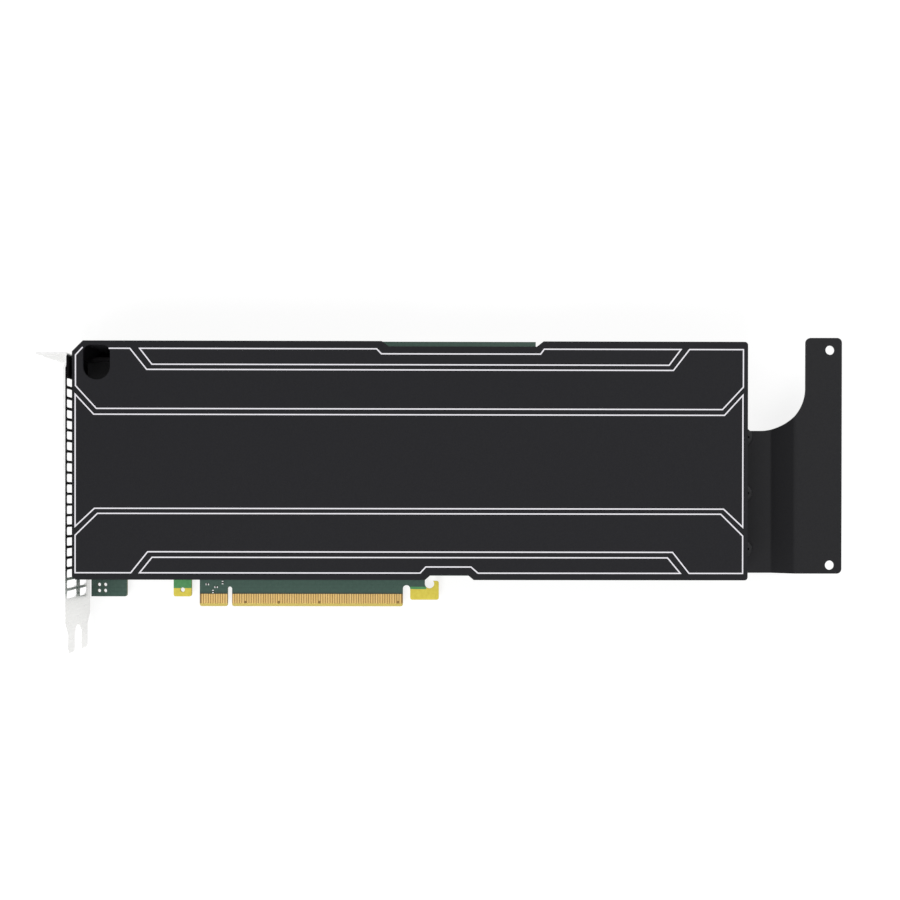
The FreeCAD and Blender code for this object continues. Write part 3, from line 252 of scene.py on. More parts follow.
def copper_tracks(graph):
    """1 on the copper under the solder mask, 0 in the fine gaps."""
    tracks = graph.add("ShaderNodeTexBrick", graph.place)
    tracks.inputs["Scale"].default_value = TRACK_SCALE
    tracks.inputs["Mortar Size"].default_value = TRACK_GAP
    return graph.math("SUBTRACT", 1.0, tracks.outputs["Fac"])


def via_masks(graph, x, y):
    """1 on the rings of the vias, and 1 in their drilled middles, where vias crowd."""
    cells = [graph.math("FRACT", graph.math("DIVIDE", way, VIA_PITCH * MM)) for way in (x, y)]
    squares = [graph.math("POWER", graph.math("SUBTRACT", cell, 0.5), 2.0) for cell in cells]
    away = graph.math("SQRT", graph.math("ADD", *squares))
    crowd = graph.above(graph.noise(CROWD_SCALE, detail=1.0), 0.5)
    return (graph.both(graph.within(away, VIA_BORE, VIA_RING), crowd),
            graph.both(graph.below(away, VIA_BORE), crowd))


def board_material():
    """Solder mask with tracks under it, bare laminate on the tab, hook, tongue and edges."""
    graph = Graph("solder_mask_board")
    x, y = graph.axis("x"), graph.axis("y")

    def along(stretch):
        return graph.within(x, stretch[0] * MM, stretch[1] * MM)

    def under(height):
        return graph.below(y, height * MM)

    face = graph.above(graph.math("ABSOLUTE", graph.normal("z")), 0.5)
    mottle = graph.spread(graph.noise(MOTTLE_SCALE, detail=4.0))
    weave = laminate_weave(graph, x, y)
    copper = copper_tracks(graph)
    vias, drilled = via_masks(graph, x, y)

    mask = graph.mix(mottle, srgb(52, 88, 76), srgb(68, 105, 90))
    mask = graph.mix(graph.times(vias, 0.35), mask, srgb(104, 132, 112))
    mask = graph.mix(graph.times(drilled, 0.5), mask, srgb(30, 50, 42))
    mask = graph.mix(graph.times(copper, 0.35), srgb(44, 76, 64), mask)
    thin_mask = graph.mix(mottle, srgb(70, 148, 84), srgb(84, 162, 96))
    laminate = graph.mix(mottle, srgb(238, 217, 66), srgb(250, 233, 86))
    laminate = graph.mix(graph.ramp(weave, -1, 1, 0.0, 0.3), laminate, srgb(222, 206, 104))

    tab, hook, along_tongue = along(TAB_X), along(HOOK_X), along(TONGUE_X)
    bare = graph.either(graph.both(tab, under(TAB_BARE)), graph.both(hook, under(HOOK_BARE)),
                        graph.both(along(FINGER_X), under(FINGER_BARE)))
    thin = graph.either(graph.both(tab, under(TAB_THIN)), graph.both(hook, under(HOOK_THIN)))
    tongue = graph.both(under(TONGUE_TOP), along_tongue)
    mask_edge_shade = graph.both(graph.within(y, MASK_EDGE_SHADE_Y[0] * MM, MASK_EDGE_SHADE_Y[1] * MM), along_tongue)
    bevel = graph.both(under(BEVEL_TOP), along_tongue)

    colour = graph.mix(thin, mask, thin_mask)
    colour = graph.mix(bare, colour, laminate)
    colour = graph.mix(tongue, colour, srgb(152, 117, 56))
    # Painted shade: a dark line along the solder mask's edge over the contacts.
    colour = graph.mix(mask_edge_shade, colour, srgb(28, 50, 36))
    colour = graph.mix(bevel, colour, srgb(206, 186, 88))
    cut_edge = graph.mix(graph.either(tab, hook, tongue), srgb(122, 126, 84), srgb(206, 190, 104))
    colour = graph.mix(face, cut_edge, colour)

    covered = graph.both(face, graph.math("SUBTRACT", 1.0, graph.either(bare, tongue)))
    relief = graph.math("ADD", graph.times(copper, covered), graph.times(weave, 0.25))
    graph.set(Base_Color=colour, Roughness=graph.ramp(covered, 0, 1, 0.6, 0.38),
              Normal=graph.bump(relief, 0.00003, 0.6))
    return graph.material


# How far the faces of the bracket's sheet lie beyond the cover's end, in mm.
SHEET_OUTER, SHEET_INNER = 3.3, 2.52
# The painted shade on the sheet's holes, where the cover shades them, reaches from this far inside
# the cover's lower and upper side, and from this height over the board, in mm.
SHADE_LOWER, SHADE_UPPER, SHADE_FOOT = 2, 5, 3


def bracket_material():
    """Bright brushed sheet, with painted shade on sheared edges that the cover shades, and a painted
    highlight on faces that point up.
    """
    graph = Graph("nickel_sheet")
    x, y, z = (graph.axis(letter) for letter in "xyz")
    cover_low, cover_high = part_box("shroud")
    upward = graph.above(graph.normal("z"), 0.5)
    sideways = graph.above(graph.math("ABSOLUTE", graph.normal("y")), 0.5)
    in_sheet = graph.within(x, cover_low.x - SHEET_OUTER * MM, cover_low.x - SHEET_INNER * MM)
    sheared = graph.both(sideways, in_sheet)
    shaded = graph.both(graph.within(y, cover_low.y + SHADE_LOWER * MM,
                                     cover_high.y - SHADE_UPPER * MM),
                        graph.above(z, SHADE_FOOT * MM))
    streaks = graph.spread(graph.noise(1200.0, stretch=(1.0, 1.0, 0.06)))
    colour = graph.mix(streaks, srgb(226, 226, 224), srgb(238, 238, 236))
    # Painted shade: the vents' sheared edges go near black where the cover shades them.
    colour = graph.mix(graph.both(sheared, shaded), colour, srgb(34, 34, 36))
    # Painted highlight: faces that point up go pure white, as lit from above.
    colour = graph.mix(upward, colour, srgb(255, 255, 255))
    gloss = graph.math("ADD", graph.ramp(streaks, 0, 1, 0.26, 0.36), graph.times(sheared, 0.4))
    graph.set(Base_Color=colour, Roughness=gloss, Metallic=1.0,
              Normal=graph.bump(streaks, 0.000004))
    return graph.material


def make_materials():
    """One procedural material for each material slot of the record."""
    return {
        "board": board_material(),
        "gold": metal("gold_plate", srgb(226, 188, 116), srgb(238, 202, 134), (0.2, 0.3),
                      grain=1500.0, stretch=(1.0, 0.08, 1.0)),
        "bracket_metal": bracket_material(),
        "cover_black": surface("matt_cover", srgb(26, 26, 29), srgb(31, 31, 34), (0.55, 0.65),
                               grain=2600.0, relief=0.000006, Specular_IOR_Level=0.12),
        "cast_black": surface("black_casting", srgb(24, 24, 26), srgb(32, 32, 34), (0.5, 0.62),
                              grain=1600.0, relief=0.00002, Specular_IOR_Level=0.3),
        "package": surface("processor_package", srgb(40, 74, 58), srgb(50, 88, 68), (0.35, 0.45),
                           grain=500.0),
        "silicon": surface("silicon_die", srgb(52, 54, 60), srgb(60, 62, 70), (0.08, 0.14),
                           grain=200.0, Specular_IOR_Level=0.9),
        "chip_black": surface("chip_epoxy", srgb(30, 30, 32), srgb(37, 37, 39), (0.5, 0.62),
                              grain=3000.0, relief=0.000012, Specular_IOR_Level=0.35),
        "thermal_pad": surface("thermal_pad", srgb(132, 136, 146), srgb(150, 154, 164),
                               (0.75, 0.85), grain=800.0, relief=0.00002),
        "copper": metal("copper_plate", srgb(196, 120, 84), srgb(216, 142, 104), (0.25, 0.4),
                        grain=700.0, stretch=(0.06, 1.0, 1.0)),
        "fin_aluminium": metal("aluminium_fins", srgb(190, 192, 195), srgb(208, 210, 213),
                               (0.28, 0.42), grain=900.0, stretch=(0.08, 1.0, 1.0)),
        "spring_steel": metal("spring_steel", srgb(186, 186, 184), srgb(206, 206, 204),
                              (0.25, 0.38), grain=900.0, stretch=(1.0, 0.1, 1.0)),
        "insulator": surface("insulator_sheet", srgb(38, 38, 40), srgb(46, 46, 48), (0.4, 0.5)),
        "screw_steel": metal("nickel_screw", srgb(196, 196, 194), srgb(216, 216, 214),
                             (0.22, 0.35), grain=1500.0),
        "screw_black": surface("black_screw", srgb(24, 24, 26), srgb(32, 32, 34), (0.48, 0.6),
                               grain=1500.0, Specular_IOR_Level=0.25),
        "ferrite": surface("ferrite_block", srgb(70, 70, 72), srgb(86, 86, 88), (0.6, 0.75),
                           grain=2200.0, relief=0.00002),
        "can_aluminium": metal("capacitor_can", srgb(196, 198, 202), srgb(214, 216, 220),
                               (0.25, 0.35), grain=1400.0),
        "inlet_black": surface("inlet_plastic", srgb(24, 24, 26), srgb(30, 30, 32), (0.35, 0.45),
                               grain=1800.0, Specular_IOR_Level=0.4),
        "tin": metal("tinned_pin", srgb(198, 198, 192), srgb(218, 218, 212), (0.25, 0.4)),
        "sheet_black": surface("black_sheet", srgb(29, 29, 31), srgb(34, 34, 36), (0.5, 0.62),
                               grain=2400.0, relief=0.000008, Specular_IOR_Level=0.12),
        "resistor": surface("chip_part_body", srgb(34, 31, 30), srgb(46, 42, 40), (0.4, 0.5),
                            grain=2600.0, relief=0.000008),
    }


MATERIALS = make_materials()
SLOT_OF = {row["node"]: row["material_slot"] for row in frame["record"]["subparts"]}


def dress(obj, material):
    """Give an object this one material in every slot."""
    if not obj.data.materials:
        obj.data.materials.append(material)
    for place in obj.material_slots:
        place.material = material


for node_name, node_object in frame["nodes"].items():
    dress(node_object, MATERIALS[SLOT_OF[node_name]])


# ------------------------------------------------------------------ shape helpers

# Corners of a CAD mesh this close together count as one.
WELD = 0.001 * MM


def add_piece(name, vertices, faces, slot, material=None):
    """A new closed mesh on the card, in metres in the card's frame."""
    mesh = bpy.data.meshes.new(name)
    mesh.from_pydata([tuple(v) for v in vertices], [], faces)
    mesh.update()
    piece = bpy.data.objects.new(name, mesh)
    bpy.context.collection.objects.link(piece)
    dress(piece, material or MATERIALS[slot])
    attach(piece, ROOT)
    face_outwards(mesh)
    return piece


def face_outwards(mesh):
    """Point every face of a closed mesh outwards."""
    edited = bmesh.new()
    edited.from_mesh(mesh)
    bmesh.ops.recalc_face_normals(edited, faces=edited.faces)
    edited.to_mesh(mesh)
    edited.free()


def solids_of(node_name):
    """The corner points of each separate solid of a CAD node."""
    mesh = frame["nodes"][node_name].data
    head = {}

    def leader(key):
        while head[key] != key:
            head[key] = head[head[key]]
            key = head[key]
        return key

    keys = [tuple(round(value / WELD) for value in vertex.co) for vertex in mesh.vertices]
    for key in keys:
        head.setdefault(key, key)
    for edge in mesh.edges:
        first, second = (leader(keys[index]) for index in edge.vertices)
        head[first] = second
    solids = {}
    for key, vertex in zip(keys, mesh.vertices):
        solids.setdefault(leader(key), []).append(vertex.co)
    return list(solids.values())


def box_of(points):
    """The lowest and highest corner of the box round these points."""
    low = Vector([min(point[axis] for point in points) for axis in range(3)])
    high = Vector([max(point[axis] for point in points) for axis in range(3)])
    return low, high


def middle_of(box):
    return (box[0] + box[1]) / 2


class Shape:
    """Faces gathered for one piece, from solids drawn through rings of points."""

    def __init__(self):
        self.vertices, self.faces = [], []

    def through(self, rings):
        """A closed solid through rings that all have as many points."""
        first, count = len(self.vertices), len(rings[0])
        for ring in rings:
            self.vertices += ring
        for level in range(len(rings) - 1):
            lower = first + level * count
            for index in range(count):
                after = (index + 1) % count
                self.faces.append((lower + index, lower + after,
                                   lower + count + after, lower + count + index))
        last = first + (len(rings) - 1) * count
        self.faces.append(tuple(reversed(range(first, first + count))))
        self.faces.append(tuple(range(last, last + count)))

    def block(self, low, high, soft):
        """A block whose edges are all softened by this much."""
        rings = []
        for inset, level in ((soft, low[2]), (0, low[2] + soft), (0, high[2] - soft),
                             (soft, high[2])):
            left, right = low[0] + inset, high[0] - inset
            near, far = low[1] + inset, high[1] - inset
            rings.append([(left + soft, near, level), (right - soft, near, level),
                          (right, near + soft, level), (right, far - soft, level),
                          (right - soft, far, level), (left + soft, far, level),
                          (left, far - soft, level), (left, near + soft, level)])
        self.through(rings)

    def piece(self, name, slot, material=None):
        return add_piece(name, self.vertices, self.faces, slot, material)


# Points round a circle: as many as a cross has corners and middles between them.
CIRCLE_POINTS = 24


def circle(radius):
    """Points of a circle, in step with the outline of a cross."""
    angles = [math.radians(360 / CIRCLE_POINTS * (index - 1)) for index in range(CIRCLE_POINTS)]
    return [(radius * math.cos(angle), radius * math.sin(angle)) for angle in angles]


def cross(reach, half):
    """As many points round a cross with arms of this reach and half width."""
    corners = []
    for turn in range(4):
        for x, y in ((reach, -half), (reach, half), (half, half)):
            for _ in range(turn):
                x, y = -y, x
            corners.append((x, y))
    points = []
    for corner, after in zip(corners, corners[1:] + corners[:1]):
        points += [corner, ((corner[0] + after[0]) / 2, (corner[1] + after[1]) / 2)]
    return points


def raised(outline, centre, axis, level):
    """An outline set square to an axis, this far along it from the centre."""
    side = Vector((1, 0, 0))
    up = axis.cross(side)
    return [tuple(centre + side * x + up * y + axis * level) for x, y in outline]


def left_of(start, end):
    """The direction that points left on the way from start to end."""
    direction = (end - start).normalized()
    return Vector((-direction.y, direction.x))


# ------------------------------------------------------------------------ stripes

# Pinstripes of the cover, in mm along X and Y from the cover's lower left corner.
STRIPE_WIDTH = 0.5
LEFT, RIGHT = 1.4, 265.51
UPPER_LEFT, UPPER_RIGHT = 1.52, 265.66
HEAD, FOOT = 91.46, 2.77
BAND_TOP, FIELD_TOP, FIELD_FOOT, BAND_FOOT = 67.7, 65.42, 28.25, 26.24
# Each line's corners, and whether it closes on itself.
STRIPES = [
    ([(14.6, HEAD), (22.95, HEAD), (29.6, 83.16), (237.9, 83.16), (244.3, HEAD),
      (UPPER_RIGHT, HEAD), (UPPER_RIGHT, 76.6), (257.4, BAND_TOP), (9.75, BAND_TOP),
      (UPPER_LEFT, 76.7), (UPPER_LEFT, 88.8), (4.35, 91.9)], False),
    ([(26.8, HEAD), (120.4, HEAD), (122.3, 89.5), (185.3, 89.5), (186.7, HEAD), (240.9, HEAD),
      (236.2, 85.2), (31.65, 85.2)], True),
    ([(LEFT, 73.3), (8.7, FIELD_TOP), (258.2, FIELD_TOP), (RIGHT, 73.4), (RIGHT, 21.1),
      (257.9, FIELD_FOOT), (9.0, FIELD_FOOT), (LEFT, 21.1)], True),
    ([(RIGHT, 17.6), (RIGHT, FOOT), (244.25, FOOT), (237.7, 11.1), (30.0, 11.1), (23.35, FOOT),
      (LEFT, FOOT), (LEFT, 17.6), (10.2, BAND_FOOT), (256.8, BAND_FOOT)], True),
    ([(26.8, FOOT), (31.75, 8.91), (235.7, 8.91), (240.8, FOOT), (160.6, FOOT), (157.85, 5.2),
      (139.95, 5.2), (137.7, FOOT)], True),
]
# The print reaches this far into the cover and stands this far proud of it, in mm.
PRINT_SUNK, PRINT_PROUD = 0.01, 0.03


def ribbon(points, width, closed):
    """Pairs of points on the two sides of a mitred line of this width."""
    points = [Vector(p) for p in points]
    count = len(points)
    sides = []
    for index, point in enumerate(points):
        before = left_of(points[index - 1], point) if closed or index else None
        after = left_of(point, points[(index + 1) % count]) if closed or index < count - 1 else None
        if before is None or after is None:
            offset = (before or after) * (width / 2)
        else:
            offset = (before + after) / (1 + before.dot(after)) * (width / 2)
        sides.append((point + offset, point - offset))
    return sides


def stripe_mesh(lines, width, foot, top):
    """Thin raised lines as closed solids, each with its points and whether it is closed."""
    vertices, faces = [], []
    for points, closed in lines:
        first = len(vertices)
        for side_a, side_b in ribbon(points, width, closed):
            vertices += [(*side_a, foot), (*side_b, foot), (*side_b, top), (*side_a, top)]
        count = len(points)
        for index in range(count if closed else count - 1):
            a, b = first + 4 * index, first + 4 * ((index + 1) % count)
            for corner in range(4):
                after = (corner + 1) % 4
                faces.append((a + corner, a + after, b + after, b + corner))
        if not closed:
            last = first + 4 * (count - 1)
            faces.append((first + 3, first + 2, first + 1, first))
            faces.append((last, last + 1, last + 2, last + 3))
    return vertices, faces


def make_stripes():
    """The printed pinstripes on the cover's flat top."""
    low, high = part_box("shroud")
    lines = [([(low.x + x * MM, low.y + y * MM) for x, y in points], closed)
             for points, closed in STRIPES]
    ink = surface("white_ink", srgb(222, 220, 226), srgb(232, 230, 235), (0.5, 0.6),
                  grain=3000.0, Specular_IOR_Level=0.2)
    vertices, faces = stripe_mesh(lines, STRIPE_WIDTH * MM, high.z - PRINT_SUNK * MM,
                                  high.z + PRINT_PROUD * MM)
    add_piece("cover_pinstripes", vertices, faces, "cover_black", ink)


# ------------------------------------------------------------------------- screws

# The axis of each screw node's screws.
SCREW_NODES = {"bracket_screws": "z", "base_screws": "z", "heatsink_screws": "z",
               "shroud_screws": "y", "extender_screws": "z"}
# The recess's floor and mouth: reach and half width of the cross as shares of the head's radius,
# and depth as a share of the head's height.
RECESS = ((0.22, 0.07, 0.62), (0.56, 0.13, 0))
# The head's rounded rim: radius and depth as shares of the head's radius and height.
RIM = ((0.7, 0), (0.86, 0.1), (0.96, 0.28), (1, 0.55), (1, 1))
# The tip's taper: its length and its end's radius as shares of the shank's radius.
TAPER, TIP = 0.3, 0.75
# Points over this share of the head's radius from the axis are on its rim.
ON_RIM = 0.95
# What counts as the end of a screw, and as beyond its head, in mm.
NEAR_END, PAST_HEAD = 0.2, 0.1


def turned(points, way):
    """For each point of a turned solid, how far it lies from the axis and along it."""
    middle = middle_of(box_of(points))
    pairs = []
    for point in points:
        gap = point - middle
        gap[way] = 0
        pairs.append((gap.length, point[way]))
    return pairs


def cross_screw(shape, points, letter):
    """A pan-head screw with a cross recess, as large as the plain one of these points."""
    low, high = box_of(points)
    way = "xyz".index(letter)
    pairs = turned(points, way)
    at_low = max(away for away, level in pairs if level < low[way] + NEAR_END * MM)
    at_high = max(away for away, level in pairs if level > high[way] - NEAR_END * MM)
    head_up = at_high > at_low
    axis = Vector((0, 0, 0))
    axis[way] = 1 if head_up else -1
    centre = middle_of((low, high))
    centre[way] = high[way] if head_up else low[way]
    depths = [(away, abs(level - centre[way])) for away, level in pairs]
    radius = max(away for away, depth in depths)
    head = max(depth for away, depth in depths if away > ON_RIM * radius)
    shank = max(away for away, depth in depths if depth > head + PAST_HEAD * MM)
    length = high[way] - low[way]
    profile = [(cross(reach * radius, half * radius), depth * head)
               for reach, half, depth in RECESS]
    profile += [(circle(share * radius), depth * head) for share, depth in RIM]
    profile += [(circle(shank), head), (circle(shank), length - TAPER * shank),
                (circle(TIP * shank), length)]
    shape.through([raised(outline, centre, axis, -level) for outline, level in profile])


def make_screws():
    """Screws with cross recesses in place of the CAD's plain ones."""
    for node_name, letter in SCREW_NODES.items():
        shape = Shape()
        for points in solids_of(node_name):
            cross_screw(shape, points, letter)
        piece = shape.piece("cross_" + node_name, SLOT_OF[node_name])
        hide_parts(node_name)


# ------------------------------------------------------------- chip parts, solder

# Share of a chip part's length that each tinned end takes.
END_SHARE = 0.27
# How far a chip part's body stays inside its ends, in mm. The ends' edges are softened as much, and
# the body's half as much.
CHIP_SOFT = 0.04
# Length, width and height of the chip parts on the back, in mm.
BACK_LENGTH, BACK_WIDTH, BACK_HEIGHT = 1.0, 0.5, 0.45
# Chip parts along each side of a memory chip, and their distance from it, in mm.
MEMORY_PARTS, MEMORY_GAP = 4, 1.1
# Steps between the chip parts under a choke, in mm.
CHOKE_STEP_X, CHOKE_STEP_Y = 1.6, 1.9
# Chip parts along each side of the ring under a processor, and their pitch in mm.
RING_PARTS, RING_PITCH = 8, 2.0
# What the chip parts on the back keep clear of.
BACK_NEIGHBOURS = ("base_screws", "heatsink_screws", "bracket_screws", "power_pins",
                   "memory_chips_back")
# The solder round a power pin: how far it reaches out from the pin and down from the board, in mm.
FILLET = ((0.65, -0.02), (0.65, 0.04), (0.4, 0.16), (0.22, 0.36), (0.1, 0.62))
# The solder's tip: its radius as a share of the pin's half width, and its depth in mm.
FILLET_TIP_SHARE, FILLET_TIP = 0.9, 0.8
# Points this far below the board belong to a pin's tail, in mm.
TAIL_START = 0.1


def chip_part(bodies, ends, low, high):
    """A dark chip part between two tinned ends."""
    along = 0 if high[0] - low[0] > high[1] - low[1] else 1
    end_length = (high[along] - low[along]) * END_SHARE
    soft = CHIP_SOFT * MM
    inset = Vector((soft, soft, soft))
    inset[along] = end_length / 2
    bodies.block(low + inset, high - inset, soft / 2)
    first_high, last_low = high.copy(), low.copy()
    first_high[along] = low[along] + end_length
    last_low[along] = high[along] - end_length
    ends.block(low, first_high, soft)
    ends.block(last_low, high, soft)


def back_spots():
    """Middles of the chip parts on the back: by the memory, under the chokes and processors."""
    spots = []
    for points in solids_of("memory_chips_back"):
        low, high = box_of(points)
        for step in range(MEMORY_PARTS):
            x = low.x + (high.x - low.x) * (step + 0.5) / MEMORY_PARTS
            spots += [(x, low.y - MEMORY_GAP * MM), (x, high.y + MEMORY_GAP * MM)]
    for points in solids_of("power_chokes"):
        middle = middle_of(box_of(points))
        spots += [(middle.x + side * CHOKE_STEP_X * MM, middle.y + row * CHOKE_STEP_Y * MM)
                  for side in (-1, 1) for row in (-1, 0, 1)]
    steps = [step - (RING_PARTS - 1) / 2 for step in range(RING_PARTS)]
    for node_name in ("gpu_substrate_1", "gpu_substrate_2"):
        middle = middle_of(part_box(node_name))
        spots += [(middle.x + column * RING_PITCH * MM, middle.y + row * RING_PITCH * MM)
                  for column in steps for row in steps if steps[-1] in (abs(column), abs(row))]
    return spots


def back_places():
    """Corners of the chip parts on the back that stay clear of what is there."""
    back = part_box("pcb")[0].z
    half_length, half_width = BACK_LENGTH * MM / 2, BACK_WIDTH * MM / 2
    taken = [box_of(points) for node_name in BACK_NEIGHBOURS for points in solids_of(node_name)]
    places = []
    for x, y in back_spots():
        low = Vector((x - half_length, y - half_width, back - BACK_HEIGHT * MM))
        high = Vector((x + half_length, y + half_width, back))
        if all(low.x > box[1].x or high.x < box[0].x or low.y > box[1].y or high.y < box[0].y
               for box in taken):
            places.append((low, high))
            taken.append((low, high))
    return places


def make_chip_parts():
    """The chip parts at the board's edge, in place of the CAD's plain ones, and on its back."""
    tinned = metal("chip_part_end", srgb(238, 238, 236), srgb(250, 250, 248), (0.3, 0.4))
    edge_places = [box_of(points) for points in solids_of("edge_resistors")]
    for name, places, node_name in (("edge_parts", edge_places, "edge_resistors"),
                                    ("back_parts", back_places(), None)):
        bodies, ends = Shape(), Shape()
        for low, high in places:
            chip_part(bodies, ends, low, high)
        for piece in (bodies.piece(name + "_bodies", "resistor"),
                      ends.piece(name + "_ends", "resistor", tinned)):
            if node_name:
                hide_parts(node_name)


def make_pin_solder():
    """A fillet of solder round each tail of the power pins."""
    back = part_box("pcb")[0].z
    down = Vector((0, 0, -1))
    shape = Shape()
    for points in solids_of("power_pins"):
        tail = [point for point in points if point.z < back - TAIL_START * MM]
        if tail:
            low, high = box_of(tail)
            centre = middle_of((low, high))
            centre.z = back
            half = (high.x - low.x) / 2
            profile = [(half + reach * MM, depth * MM) for reach, depth in FILLET]
            profile.append((half * FILLET_TIP_SHARE, FILLET_TIP * MM))
            shape.through([raised(circle(radius), centre, down, level)
                           for radius, level in profile])
    shape.piece("power_pin_solder", "tin")


# -------------------------------------------------------------------------- marks

# The mark on a can: how far it reaches into the can and stands proud of it, in mm, and its radius as
# a share of the top's.
CAN_MARK_SUNK, CAN_MARK_PROUD, CAN_MARK_REACH = 0.01, 0.03, 0.92
# Half of the mark's arc and the step between its points, in degrees.
CAN_MARK_ARC, CAN_MARK_STEP = 56, 8
# Points this far below a can's highest belong to its flat top, in mm.
CAN_TOP = 0.05
# The dot on a memory chip: its radius, its distance from two sides, and how far it stands proud
# and reaches in, in mm.
DOT_RADIUS, DOT_INSET, DOT_LEVEL = 0.35, 1.4, 0.02


def make_can_marks():
    """A dark segment on each can's top for its negative side."""
    ink = surface("can_mark_ink", srgb(32, 32, 36), srgb(40, 40, 44), (0.5, 0.6))
    angles = [math.radians(angle)
              for angle in range(-CAN_MARK_ARC, CAN_MARK_ARC + 1, CAN_MARK_STEP)]
    shape = Shape()
    for points in solids_of("power_capacitors"):
        low, high = box_of(points)
        middle = middle_of((low, high))
        top = [point for point in points if point.z > high.z - CAN_TOP * MM]
        radius = CAN_MARK_REACH * max(math.hypot(p.x - middle.x, p.y - middle.y) for p in top)
        outline = [(middle.x + radius * math.cos(angle), middle.y + radius * math.sin(angle))
                   for angle in angles]
        shape.through([[(x, y, level) for x, y in outline]
                       for level in (high.z - CAN_MARK_SUNK * MM, high.z + CAN_MARK_PROUD * MM)])
    shape.piece("can_polarity_marks", "can_aluminium", ink)


def make_pin_dots():
    """A small round mark in one corner of each memory chip."""
    ink = surface("pin_mark_ink", srgb(96, 96, 98), srgb(110, 110, 112), (0.5, 0.6))
    shape = Shape()
    for node_name, side in (("memory_chips_front", 1), ("memory_chips_back", -1)):
        for points in solids_of(node_name):
            low, high = box_of(points)
            centre = Vector((low.x + DOT_INSET * MM, high.y - DOT_INSET * MM,
                             high.z if side > 0 else low.z))
            shape.through([raised(circle(DOT_RADIUS * MM), centre, Vector((0, 0, side)), level)
                           for level in (-DOT_LEVEL * MM, DOT_LEVEL * MM)])
    shape.piece("memory_pin_marks", "chip_black", ink)


# -------------------------------------------------------------- painted shade at the bracket's end

# A near-black block of painted shade lies against the bracket's sheet, this far beyond the cover's
# end, in mm.
SHADE_BLOCK_BACK = 2.5
# Its thickness, its foot's height over the board's back and the softening of its edges, in mm.
SHADE_BLOCK_THICK, SHADE_BLOCK_FOOT, SHADE_BLOCK_SOFT = 0.95, 0.3, 0.2
# Its tall and its low part: start and end along Y, and how far it stays under the cover's top.
SHADE_BLOCK_PARTS = ((93.4, 101.8, 1.2), (101.6, 103.1, 13))
# The near-black sheet of painted shade on the board, in mm: its start and end from the board's end,
# its lower edge along Y, its upper edge under the cover's side, its faces over the board, and the
# softening of its edges.
SHADE_SHEET_START, SHADE_SHEET_END, SHADE_SHEET_LOWER, SHADE_SHEET_UPPER = 0.1, 26, 103.65, 1.6
SHADE_SHEET_FOOT, SHADE_SHEET_TOP, SHADE_SHEET_SOFT = 0.01, 0.16, 0.04
# The corner wall, in mm: its outer and inner face under the cover's corner, and how far it stays
# clear of the cover's lower edge and top.
WALL_OUTER, WALL_INNER, WALL_FOOT, WALL_TOP = 0.06, 1.3, 0.1, 1.4
# Points this close to the cover's side lie on it, in mm.
ON_SIDE = 0.02


def make_painted_shade():
    """Painted shade: a near-black block on the bracket and a near-black sheet on the board under the
    oval hole.
    """
    # Near-black painted shade for the dark space behind the bracket and under the oval hole.
    shade_black = surface("painted_shade_black", srgb(14, 14, 15), srgb(20, 20, 21), (0.9, 1.0), grain=2200.0,
                   relief=0.00004, Specular_IOR_Level=0.05)
    board_low, board_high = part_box("pcb")
    cover_low, cover_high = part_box("shroud")
    sheet_face = cover_low.x - SHADE_BLOCK_BACK * MM
    shade_block = Shape()
    for start, end, drop in SHADE_BLOCK_PARTS:
        shade_block.block((sheet_face, start * MM, board_low.z + SHADE_BLOCK_FOOT * MM),
                    (sheet_face + SHADE_BLOCK_THICK * MM, end * MM, cover_high.z - drop * MM),
                    SHADE_BLOCK_SOFT * MM)
    shade_block.piece("bracket_painted_shade_block", "insulator", shade_black)
    shade_sheet = Shape()
    shade_sheet.block((board_low.x + SHADE_SHEET_START * MM, SHADE_SHEET_LOWER * MM, board_high.z + SHADE_SHEET_FOOT * MM),
               (board_low.x + SHADE_SHEET_END * MM, cover_high.y - SHADE_SHEET_UPPER * MM,
                board_high.z + SHADE_SHEET_TOP * MM), SHADE_SHEET_SOFT * MM)
    shade_sheet.piece("board_painted_shade_sheet", "insulator", shade_black)


def make_corner_wall():
    """The cover's thin wall under its cropped corner beside the bracket."""
    low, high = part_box("shroud")
    points = [point for solid in solids_of("shroud") for point in solid]
    corner_y = max(point.y for point in points if point.x < low.x + ON_SIDE * MM)
    corner_x = min(point.x for point in points if point.y > high.y - ON_SIDE * MM)
    start, end = Vector((low.x, corner_y)), Vector((corner_x, high.y))
    inward, along = -left_of(start, end), (end - start).normalized()
    outer, inner = WALL_OUTER * MM, WALL_INNER * MM
    widening = along * (inner - outer)
    outline = [start + inward * outer, end + inward * outer,
               end + inward * inner + widening, start + inward * inner - widening]
    shape = Shape()
    shape.through([[(point.x, point.y, level) for point in outline]
                   for level in (low.z + WALL_FOOT * MM, high.z - WALL_TOP * MM)])
    shape.piece("cover_corner_wall", "cover_black")


make_stripes()
make_screws()
make_chip_parts()
make_pin_solder()
make_can_marks()
make_pin_dots()
make_painted_shade()
make_corner_wall()


# -------------------------------------------------------------------------- stage

# Half the floor's side in metres, and how far it lies under the card, in mm.
FLOOR_HALF, FLOOR_GAP = 6.0, 0.02
# The floor as the camera sees it: the share of light that it scatters, and its own glow.
FLOOR_SCATTER, FLOOR_GLOW = 0.26, 0.82
# The world's strength as light on the card; the camera and reflections see it at 1.
WORLD_LIGHT = 0.5
# The camera, fitted to the photo's perspective: its place in mm over the card's origin, its turn in
# degrees from straight down, its lens in mm and the shift of its frame.
CAMERA_PLACE = (94.467, 44.727, 600)
CAMERA_TURN = (-0.247, -0.404, 0.086)
CAMERA_LENS = 57.12
CAMERA_SHIFT = (-0.01674, 0.06239)
# Where the lamps aim, in metres.
LAMP_TARGET = (0.1, 0.05, 0.0)


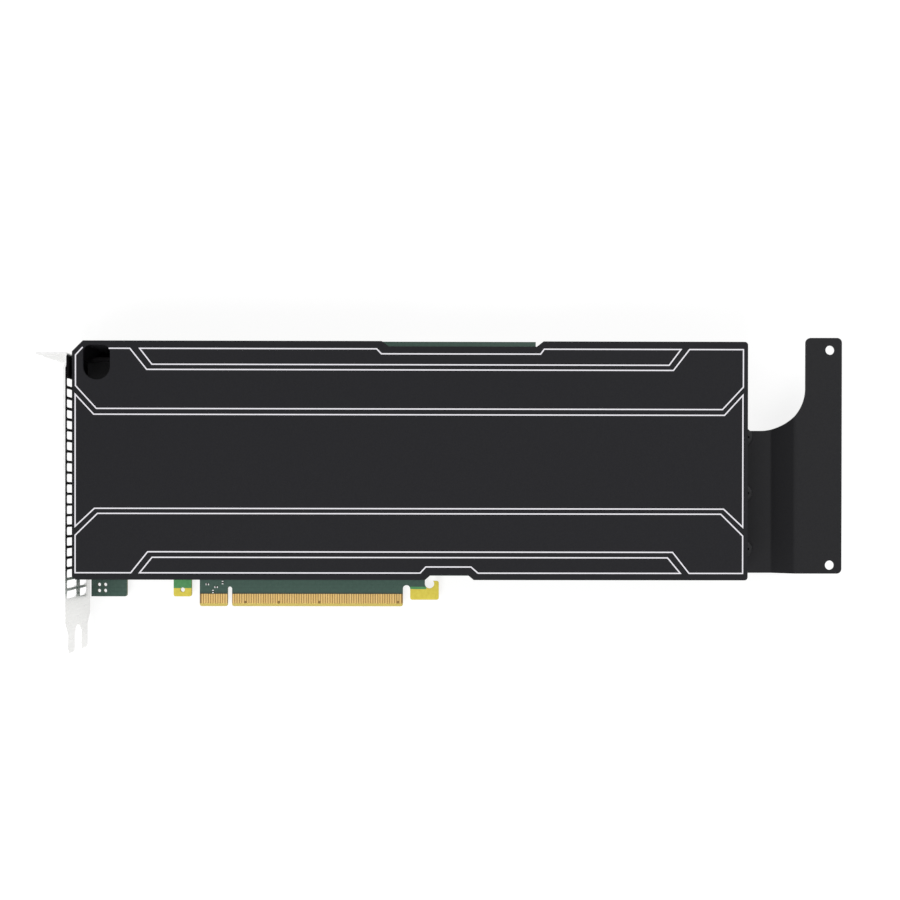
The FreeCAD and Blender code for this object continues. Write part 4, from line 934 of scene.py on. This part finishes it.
def make_floor():
    """White floor that keeps the card's soft shadow."""
    graph = Graph("white_floor")
    lit = graph.add("ShaderNodeBsdfDiffuse", (0.8, 0.8, 0.8, 1.0))
    shaded = graph.add("ShaderNodeBsdfDiffuse",
                       (FLOOR_SCATTER, FLOOR_SCATTER, FLOOR_SCATTER, 1.0))
    glow = graph.add("ShaderNodeEmission", (1.0, 1.0, 1.0, 1.0), FLOOR_GLOW)
    white = graph.add("ShaderNodeAddShader", shaded.outputs[0], glow.outputs[0])
    mixed = graph.add("ShaderNodeMixShader", graph.seen(), lit.outputs[0], white.outputs[0])
    graph.tree.links.new(mixed.outputs[0], graph.tree.nodes["Material Output"].inputs["Surface"])
    graph.tree.nodes.remove(graph.shader)
    half, level = FLOOR_HALF, cad_low.z - FLOOR_GAP * MM
    mesh = bpy.data.meshes.new("floor")
    corners = [(-half, -half, level), (half, -half, level), (half, half, level), (-half, half, level)]
    mesh.from_pydata(corners, [], [(0, 1, 2, 3)])
    floor = bpy.data.objects.new("floor", mesh)
    bpy.context.collection.objects.link(floor)
    mesh.materials.append(graph.material)


def make_world():
    """An even pale world, brighter to the camera and in reflections than as light on the card."""
    world = bpy.data.worlds.new("studio")
    bpy.context.scene.world = world
    world.use_nodes = True
    nodes = Nodes(world.node_tree)
    nodes.tree.nodes.clear()
    strength = nodes.ramp(nodes.seen(), 0, 1, WORLD_LIGHT, 1.0)
    background = nodes.add("ShaderNodeBackground", None, strength)
    nodes.add("ShaderNodeOutputWorld", background.outputs[0])


def make_lamp(name, place, size, power):
    """A round lamp that aims at the card; place and size are in metres, power in watts."""
    lamp = bpy.data.lights.new(name, "AREA")
    lamp.shape = "DISK"
    lamp.size = size
    lamp.energy = power
    holder = bpy.data.objects.new(name, lamp)
    bpy.context.collection.objects.link(holder)
    holder.location = place
    aim = Vector(LAMP_TARGET) - Vector(place)
    holder.rotation_mode = "QUATERNION"
    holder.rotation_quaternion = aim.to_track_quat("-Z", "Y")


def make_camera():
    """Nearly straight above the card, as the photograph was taken."""
    data = bpy.data.cameras.new("camera")
    data.sensor_width = 36.0
    data.lens = CAMERA_LENS
    data.shift_x, data.shift_y = CAMERA_SHIFT
    data.clip_start, data.clip_end = 0.01, 50.0
    camera = bpy.data.objects.new("camera", data)
    bpy.context.collection.objects.link(camera)
    camera.location = [value * MM for value in CAMERA_PLACE]
    camera.rotation_euler = [math.radians(angle) for angle in CAMERA_TURN]
    bpy.context.scene.camera = camera


make_floor()
make_world()
make_lamp("key", (-0.35, -0.85, 1.25), size=0.9, power=14.0)
make_lamp("fill", (0.75, 0.6, 1.2), size=1.2, power=9.0)
make_camera()
bpy.context.scene.view_settings.view_transform = "Standard"
